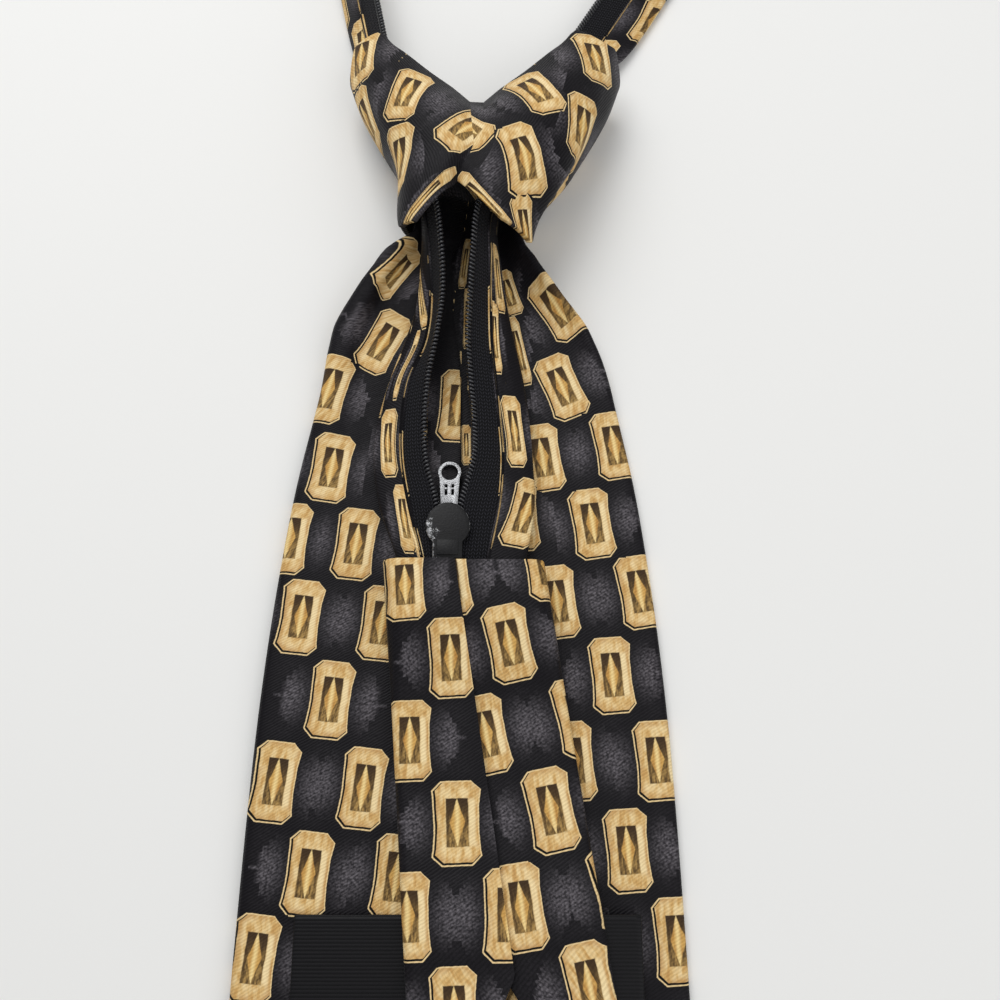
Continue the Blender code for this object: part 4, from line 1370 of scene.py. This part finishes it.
def strip_rows(first, second, inset_first, inset_second, columns, walked):
    """A strip between two rails, drawn in from each."""
    rows, prints = [], []
    for a, b, far in zip(first, second, walked):
        along = (b - a).normalized()
        start, end = a + along * inset_first, b - along * inset_second
        width = (end - start).length
        rows.append([start.lerp(end, i / columns) for i in range(columns + 1)])
        prints.append([{"threads": (width * i / columns, far)} for i in range(columns + 1)])
    return rows, prints


class TIE_OT_bands(bpy.types.Operator):
    """The two folded neck bands with the zip tapes on their inner edges"""

    bl_idname = "tie.bands"
    bl_label = "Neck bands and tapes"

    def execute(self, context):
        finish = finishes()
        for name, table, side, motifs in (
                ("left", LEFT_BAND, -1, BAND_LEFT_MOTIFS), ("right", RIGHT_BAND, 1, BAND_RIGHT_MOTIFS)):
            coil, seam, outer = band_rails(table, side)
            walked = travelled(seam)
            rows, prints = band_ring(seam, outer, walked)
            drawn = drawn_within(right=BAND_DRAWN_X, top=BAND_DRAWN_Y)
            painters = {"band": painter(motifs, BAND_LATTICE, drawn)}
            band = cloth_mesh(
                f"neck_band_{name}_silk", rows, prints, 0.0005, painters, ring=True, soft_edge=0.0)
            finish_piece(band, finish["printed silk"])
            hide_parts(f"neck_band_{name}")
            rows, prints = strip_rows(coil, seam, COIL_RADIUS * 0.6, -0.0004, 10, walked)
            tape = cloth_mesh(f"zip_tape_{name}_weave", rows, prints, TAPE_THICKNESS, soft_edge=0.0002)
            finish_piece(tape, finish["zip tape"])
            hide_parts(f"zip_tape_{name}")
        return {"FINISHED"}


class TIE_OT_coils(bpy.types.Operator):
    """The two nylon coils, turn by turn"""

    bl_idname = "tie.coils"
    bl_label = "Zip coils"

    def execute(self, context):
        settings = context.scene.tie_zip
        finish = finishes()
        for name, table, side in (("left", LEFT_BAND, -1), ("right", RIGHT_BAND, 1)):
            coil, seam, _ = band_rails(table, side)
            mesh = bmesh.new()
            walked = travelled(coil)
            around, sides = 9, 6
            turns = int(walked[-1] / settings.pitch)
            last_ring, k = None, 0
            for step in range(turns * around + 1):
                far = min(step / around * settings.pitch, walked[-1] - 1e-6)
                while walked[k + 1] < far:
                    k += 1
                t = (far - walked[k]) / (walked[k + 1] - walked[k])
                centre = coil[k].lerp(coil[k + 1], t)
                way = (coil[k + 1] - coil[k]).normalized()
                across = (seam[k] - coil[k]).lerp(seam[k + 1] - coil[k + 1], t)
                across = (across - way * across.dot(way)).normalized()
                up = upward(across, way)
                angle = 2 * math.pi * step / around
                reach_across = COIL_RADIUS - settings.wire
                reach_up = reach_across * 0.85
                out = across * math.cos(angle) * reach_across + up * math.sin(angle) * reach_up
                spin = -across * math.sin(angle) + up * math.cos(angle)
                run = (way * settings.pitch / (2 * math.pi * reach_across) + spin).normalized()
                one = out.normalized()
                one = (one - run * one.dot(run)).normalized()
                two = run.cross(one)
                ring = []
                for i in range(sides):
                    turn = 2 * math.pi * i / sides
                    offset = (one * math.cos(turn) + two * math.sin(turn)) * settings.wire
                    ring.append(mesh.verts.new(centre + out + offset))
                if last_ring:
                    for i in range(sides):
                        j = (i + 1) % sides
                        mesh.faces.new((last_ring[i], last_ring[j], ring[j], ring[i])).smooth = True
                else:
                    mesh.faces.new(ring[::-1])
                last_ring = ring
            mesh.faces.new(last_ring)
            bmesh.ops.recalc_face_normals(mesh, faces=mesh.faces)
            data = bpy.data.meshes.new(f"zip_coil_{name}_turns")
            mesh.to_mesh(data)
            mesh.free()
            piece = bpy.data.objects.new(data.name, data)
            context.collection.objects.link(piece)
            finish_piece(piece, finish["zip coil"])
            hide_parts(f"zip_coil_{name}")
        return {"FINISHED"}


def edit(piece):
    active(piece)
    bpy.ops.object.mode_set(mode="EDIT")
    bpy.ops.mesh.select_all(action="DESELECT")


def done():
    bpy.ops.object.mode_set(mode="OBJECT")
    return bpy.context.active_object


def pick(test, kind="VERT"):
    """Selects the active mesh's points, edges or faces that pass a test of their middle and normal."""
    bpy.ops.mesh.select_mode(type=kind)
    mesh = bmesh.from_edit_mesh(bpy.context.edit_object.data)
    matrix = bpy.context.edit_object.matrix_world
    items = {"VERT": mesh.verts, "EDGE": mesh.edges, "FACE": mesh.faces}[kind]
    for item in items:
        if kind == "VERT":
            middle, normal = item.co, item.normal
        elif kind == "EDGE":
            middle, normal = (item.verts[0].co + item.verts[1].co) / 2, item.verts[1].co - item.verts[0].co
        else:
            middle, normal = item.calc_center_median(), item.normal
        item.select_set(bool(test(matrix @ middle, normal)))
    mesh.select_flush_mode()
    bmesh.update_edit_mesh(bpy.context.edit_object.data)


def settle(piece):
    """Puts the object's place into its mesh."""
    active(piece)
    bpy.ops.object.transform_apply(location=True, rotation=True, scale=True)
    return piece


def soften(piece, width, segments=3, angle=35):
    active(piece)
    bevel = piece.modifiers.new("edges", "BEVEL")
    bevel.width = width
    bevel.segments = segments
    bevel.limit_method = "ANGLE"
    bevel.angle_limit = math.radians(angle)
    bpy.ops.object.modifier_apply(modifier=bevel.name)
    bpy.ops.object.shade_smooth_by_angle(angle=math.radians(50))
    return piece


def block(name, x_low, x_high, y_low, y_high, bottom, top, soft):
    """A block with softened edges, between the given sides."""
    bpy.ops.object.select_all(action="DESELECT")
    centre = ((x_low + x_high) / 2, (y_low + y_high) / 2, (bottom + top) / 2)
    bpy.ops.mesh.primitive_cube_add(size=1, location=centre)
    piece = bpy.context.active_object
    piece.name = name
    piece.scale = (x_high - x_low, y_high - y_low, top - bottom)
    settle(piece)
    return soften(piece, soft, 2)


def slider_plate(name, bottom, crown):
    """An egg-shaped plate: round nose, shoulders, then a straight narrow rear."""
    shoulder = SLIDER_NOSE_Y - SLIDER_LENGTH * 0.42
    nose = SLIDER_NOSE_Y - shoulder
    half = SLIDER_WIDTH / 2
    bpy.ops.object.select_all(action="DESELECT")
    bpy.ops.mesh.primitive_circle_add(
        vertices=64, radius=half, fill_type="NGON", location=(SLIDER_X, shoulder, bottom))
    piece = bpy.context.active_object
    piece.name = name
    settle(piece)
    edit(piece)
    pick(lambda p, _: p.y > shoulder + 1e-6)
    bpy.ops.transform.resize(value=(1, nose / half, 1), center_override=(SLIDER_X, shoulder, bottom))
    waist = SLIDER_REAR_WIDTH / SLIDER_WIDTH
    cut = shoulder - half * math.sqrt(1 - waist * waist)
    bpy.ops.mesh.select_all(action="SELECT")
    bpy.ops.mesh.bisect(
        plane_co=(SLIDER_X, cut, bottom), plane_no=(0, 1, 0), clear_inner=True, threshold=1e-7)
    pick(lambda p, d: abs(p.y - cut) < 1e-5 and abs(d.x) > 1e-4, "EDGE")
    bpy.ops.mesh.extrude_region_move(TRANSFORM_OT_translate={"value": (0, SLIDER_REAR_Y - cut, 0)})
    bpy.ops.mesh.select_all(action="SELECT")
    bpy.ops.mesh.extrude_region_move(TRANSFORM_OT_translate={"value": (0, 0, PLATE)})
    if crown:
        bpy.ops.mesh.select_mode(type="FACE")
        bpy.ops.mesh.inset(thickness=0.0009)
        bpy.ops.transform.translate(value=(0, 0, crown))
    bpy.ops.mesh.select_all(action="SELECT")
    bpy.ops.mesh.normals_make_consistent(inside=False)
    done()
    return soften(piece, 0.00022, 3, 28)


def joined(name, pieces):
    bpy.ops.object.select_all(action="DESELECT")
    for piece in pieces:
        piece.select_set(True)
    bpy.context.view_layer.objects.active = pieces[0]
    bpy.ops.object.join()
    made = bpy.context.active_object
    made.name = name
    return made


class TIE_OT_slider(bpy.types.Operator):
    """The zip's slider with both plates, divider, rails, panel and crown"""

    bl_idname = "tie.slider"
    bl_label = "Slider"

    def execute(self, context):
        finish = finishes()
        rear = SLIDER_REAR_WIDTH / 2
        rail_top = SLIDER_REAR_Y + SLIDER_LENGTH * 0.30
        in_lower = LOWER_PLATE_Z + PLATE / 2
        in_upper = UPPER_PLATE_Z + PLATE / 2
        slot = TAPE_THICKNESS / 2 + GAP
        parts = [slider_plate("upper", UPPER_PLATE_Z, 0.00018), slider_plate("lower", LOWER_PLATE_Z, 0.0)]
        parts.append(block("divider", SLIDER_X - 0.0007, SLIDER_X + 0.0007, SLIDER_NOSE_Y - 0.0036,
                           SLIDER_NOSE_Y - 0.0012, in_lower, in_upper, 0.0003))
        for side in (-1, 1):
            low, high = sorted((SLIDER_X + side * rear, SLIDER_X + side * (rear - 0.0006)))
            parts.append(block("rail", low, high, SLIDER_REAR_Y, rail_top, in_lower, COIL_Z - slot, 0.0001))
            parts.append(block("rail", low, high, SLIDER_REAR_Y, rail_top, COIL_Z + slot, in_upper, 0.0001))
        parts.append(block("panel", SLIDER_X - rear * 0.72, SLIDER_X + rear * 0.72, SLIDER_REAR_Y + 0.0007,
                           rail_top + 0.0004, in_upper, UPPER_PLATE_Z + PLATE + 0.00034, 0.00012))
        strap, foot = 0.00055, 0.0008
        crown_front = TAB_AXLE_Y + TAB_THICKNESS / 2 + GAP
        crown_rear = TAB_AXLE_Y - TAB_THICKNESS / 2 - GAP
        x_low, x_high = SLIDER_X - strap, SLIDER_X + strap
        parts.append(block("crown", x_low, x_high, crown_rear - foot, crown_front + foot,
                           CROWN_Z, CROWN_Z + CROWN, 0.00015))
        for y_low, y_high in ((crown_front, crown_front + foot), (crown_rear - foot, crown_rear)):
            parts.append(block("foot", x_low, x_high, y_low, y_high, CROWN_Z + CROWN / 2, in_lower, 0.0001))
        slider = joined("slider_fitting", parts)
        rubbed = slider.data.attributes.new("rubbed", "FLOAT", "POINT")
        nose = SLIDER_LENGTH * 0.42
        for vertex, value in zip(slider.data.vertices, rubbed.data):
            x, y, z = vertex.co
            left = (SLIDER_X - x) / (SLIDER_WIDTH / 2)
            ahead = max(y - SLIDER_NOSE_Y + nose, 0.0) / nose
            out = math.hypot((x - SLIDER_X) / (SLIDER_WIDTH / 2), ahead)
            edge_left = ease((left - 0.36) / 0.28) * ease((SLIDER_NOSE_Y - 0.0015 - y) / 0.003)
            rim = 0.46 * ease((out - 0.93) / 0.05)
            value.value = max(0.50 * edge_left, rim) if z > UPPER_PLATE_Z else 0.1
        finish_piece(slider, finish["slider paint"])
        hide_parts("slider_body")
        return {"FINISHED"}


def cut_away(piece, tool, operation="DIFFERENCE"):
    active(piece)
    boolean = piece.modifiers.new("cut", "BOOLEAN")
    boolean.operation = operation
    boolean.object = tool
    boolean.solver = "EXACT"
    bpy.ops.object.modifier_apply(modifier=boolean.name)
    bpy.data.objects.remove(tool, do_unlink=True)


class TIE_OT_pull_tab(bpy.types.Operator):
    """The flat worn tab with its round hole and slots"""

    bl_idname = "tie.pull_tab"
    bl_label = "Pull tab"

    def execute(self, context):
        finish = finishes()
        ring_y = TAB_LENGTH - TAB_RING_RADIUS
        bpy.ops.object.select_all(action="DESELECT")
        bpy.ops.mesh.primitive_cube_add(size=1, location=(0, (ring_y - TAB_THICKNESS / 2) / 2, 0))
        tab = context.active_object
        tab.scale = (0.0036, ring_y + TAB_THICKNESS / 2, TAB_THICKNESS)
        settle(tab)
        edit(tab)
        pick(lambda p, _: p.y > ring_y / 2)
        bpy.ops.transform.resize(value=(1.32, 1, 1), center_override=(0, ring_y, 0))
        done()
        for vertices, radius, depth, operation in (
                (56, TAB_RING_RADIUS, TAB_THICKNESS, "UNION"),
                (48, TAB_HOLE_RADIUS, TAB_THICKNESS * 3, "DIFFERENCE")):
            bpy.ops.object.select_all(action="DESELECT")
            bpy.ops.mesh.primitive_cylinder_add(
                vertices=vertices, radius=radius, depth=depth, location=(0, ring_y, 0))
            cut_away(tab, settle(context.active_object), operation)
        root = TAB_THICKNESS / 2
        slots = [(-0.00085, 0.00085, root, root + 0.0022)]
        for low, high in ((0.0046, 0.0060), (0.0064, 0.0072)):
            for side in (-1, 1):
                a, b = sorted((side * 0.00045, side * 0.00105))
                slots.append((a, b, low, high))
        deep = TAB_THICKNESS * 2
        for x_low, x_high, y_low, y_high in slots:
            cut_away(tab, block("slot", x_low, x_high, y_low, y_high, -deep, deep, 0.00005))
        soften(tab, 0.00012, 2, 40)
        place = Matrix.Translation((SLIDER_X, TAB_AXLE_Y, TAB_Z))
        tab.matrix_world = place @ Matrix.Rotation(TAB_REST, 4, "X")
        settle(tab)
        tab.name = "pull_tab_fitting"
        finish_piece(tab, finish["worn metal"], "pull_tab")
        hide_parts("pull_tab")
        return {"FINISHED"}


class TIE_OT_stage(bpy.types.Operator):
    """The plain floor, the soft lights and the camera"""

    bl_idname = "tie.stage"
    bl_label = "Stage"

    def execute(self, context):
        settings = context.scene.tie_stage
        bpy.ops.object.select_all(action="DESELECT")
        bpy.ops.mesh.primitive_grid_add(
            x_subdivisions=8, y_subdivisions=8, size=8.0, location=(0, 0, -0.0001))
        floor = settle(context.active_object)
        floor.name = "floor"
        floor.data.materials.append(floor_material())
        for name, place, size, power in (
                ("key", (-0.25, 0.55, 0.75), 0.7, settings.key),
                ("fill", (0.5, -0.35, 0.7), 0.9, settings.key * 0.45)):
            light = bpy.data.lights.new(name, "AREA")
            light.energy = power
            light.size = size
            lamp = bpy.data.objects.new(name, light)
            lamp.location = place
            lamp.rotation_euler = (Vector(place) - Vector((0, 0.02, 0))).to_track_quat("Z", "Y").to_euler()
            context.collection.objects.link(lamp)
        world = bpy.data.worlds.new("sky")
        world.use_nodes = True
        back = world.node_tree.nodes["Background"]
        back.inputs["Color"].default_value = (1.0, 1.0, 1.0, 1.0)
        back.inputs["Strength"].default_value = settings.sky
        context.scene.world = world
        context.scene.view_settings.view_transform = "Standard"
        camera = bpy.data.cameras.new("camera")
        camera.lens = 36.0
        camera.sensor_width = 36.0
        camera.clip_start = 0.01
        view = bpy.data.objects.new("camera", camera)
        view.location = settings.camera_place
        view.rotation_euler = (settings.camera_tilt, 0, 0)
        context.collection.objects.link(view)
        context.scene.camera = view
        return {"FINISHED"}


PIECES = (TIE_OT_blade, TIE_OT_tail, TIE_OT_label, TIE_OT_knot, TIE_OT_bands, TIE_OT_coils, TIE_OT_slider,
          TIE_OT_pull_tab, TIE_OT_stage)


class TIE_PT_panel(bpy.types.Panel):
    bl_idname = "TIE_PT_panel"
    bl_label = "Zipper tie"
    bl_space_type = "VIEW_3D"
    bl_region_type = "UI"
    bl_category = "Tie"

    def draw(self, context):
        for settings in (context.scene.tie_print, context.scene.tie_zip, context.scene.tie_stage):
            box = self.layout.box()
            for name in settings.bl_rna.properties.keys():
                if name not in ("rna_type", "name"):
                    box.prop(settings, name)
        for piece in PIECES:
            self.layout.operator(piece.bl_idname)


CLASSES = (PrintSettings, ZipSettings, StageSettings, *PIECES, TIE_PT_panel)


def register():
    for cls in CLASSES:
        bpy.utils.register_class(cls)
    bpy.types.Scene.tie_print = bpy.props.PointerProperty(type=PrintSettings)
    bpy.types.Scene.tie_zip = bpy.props.PointerProperty(type=ZipSettings)
    bpy.types.Scene.tie_stage = bpy.props.PointerProperty(type=StageSettings)


def unregister():
    del bpy.types.Scene.tie_print, bpy.types.Scene.tie_zip, bpy.types.Scene.tie_stage
    for cls in reversed(CLASSES):
        bpy.utils.unregister_class(cls)


def main():
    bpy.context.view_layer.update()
    register()
    bpy.ops.tie.blade()
    bpy.ops.tie.tail()
    bpy.ops.tie.label()
    bpy.ops.tie.knot()
    bpy.ops.tie.bands()
    bpy.ops.tie.coils()
    bpy.ops.tie.slider()
    bpy.ops.tie.pull_tab()
    bpy.ops.tie.stage()


if __name__ == "__main__":
    main()
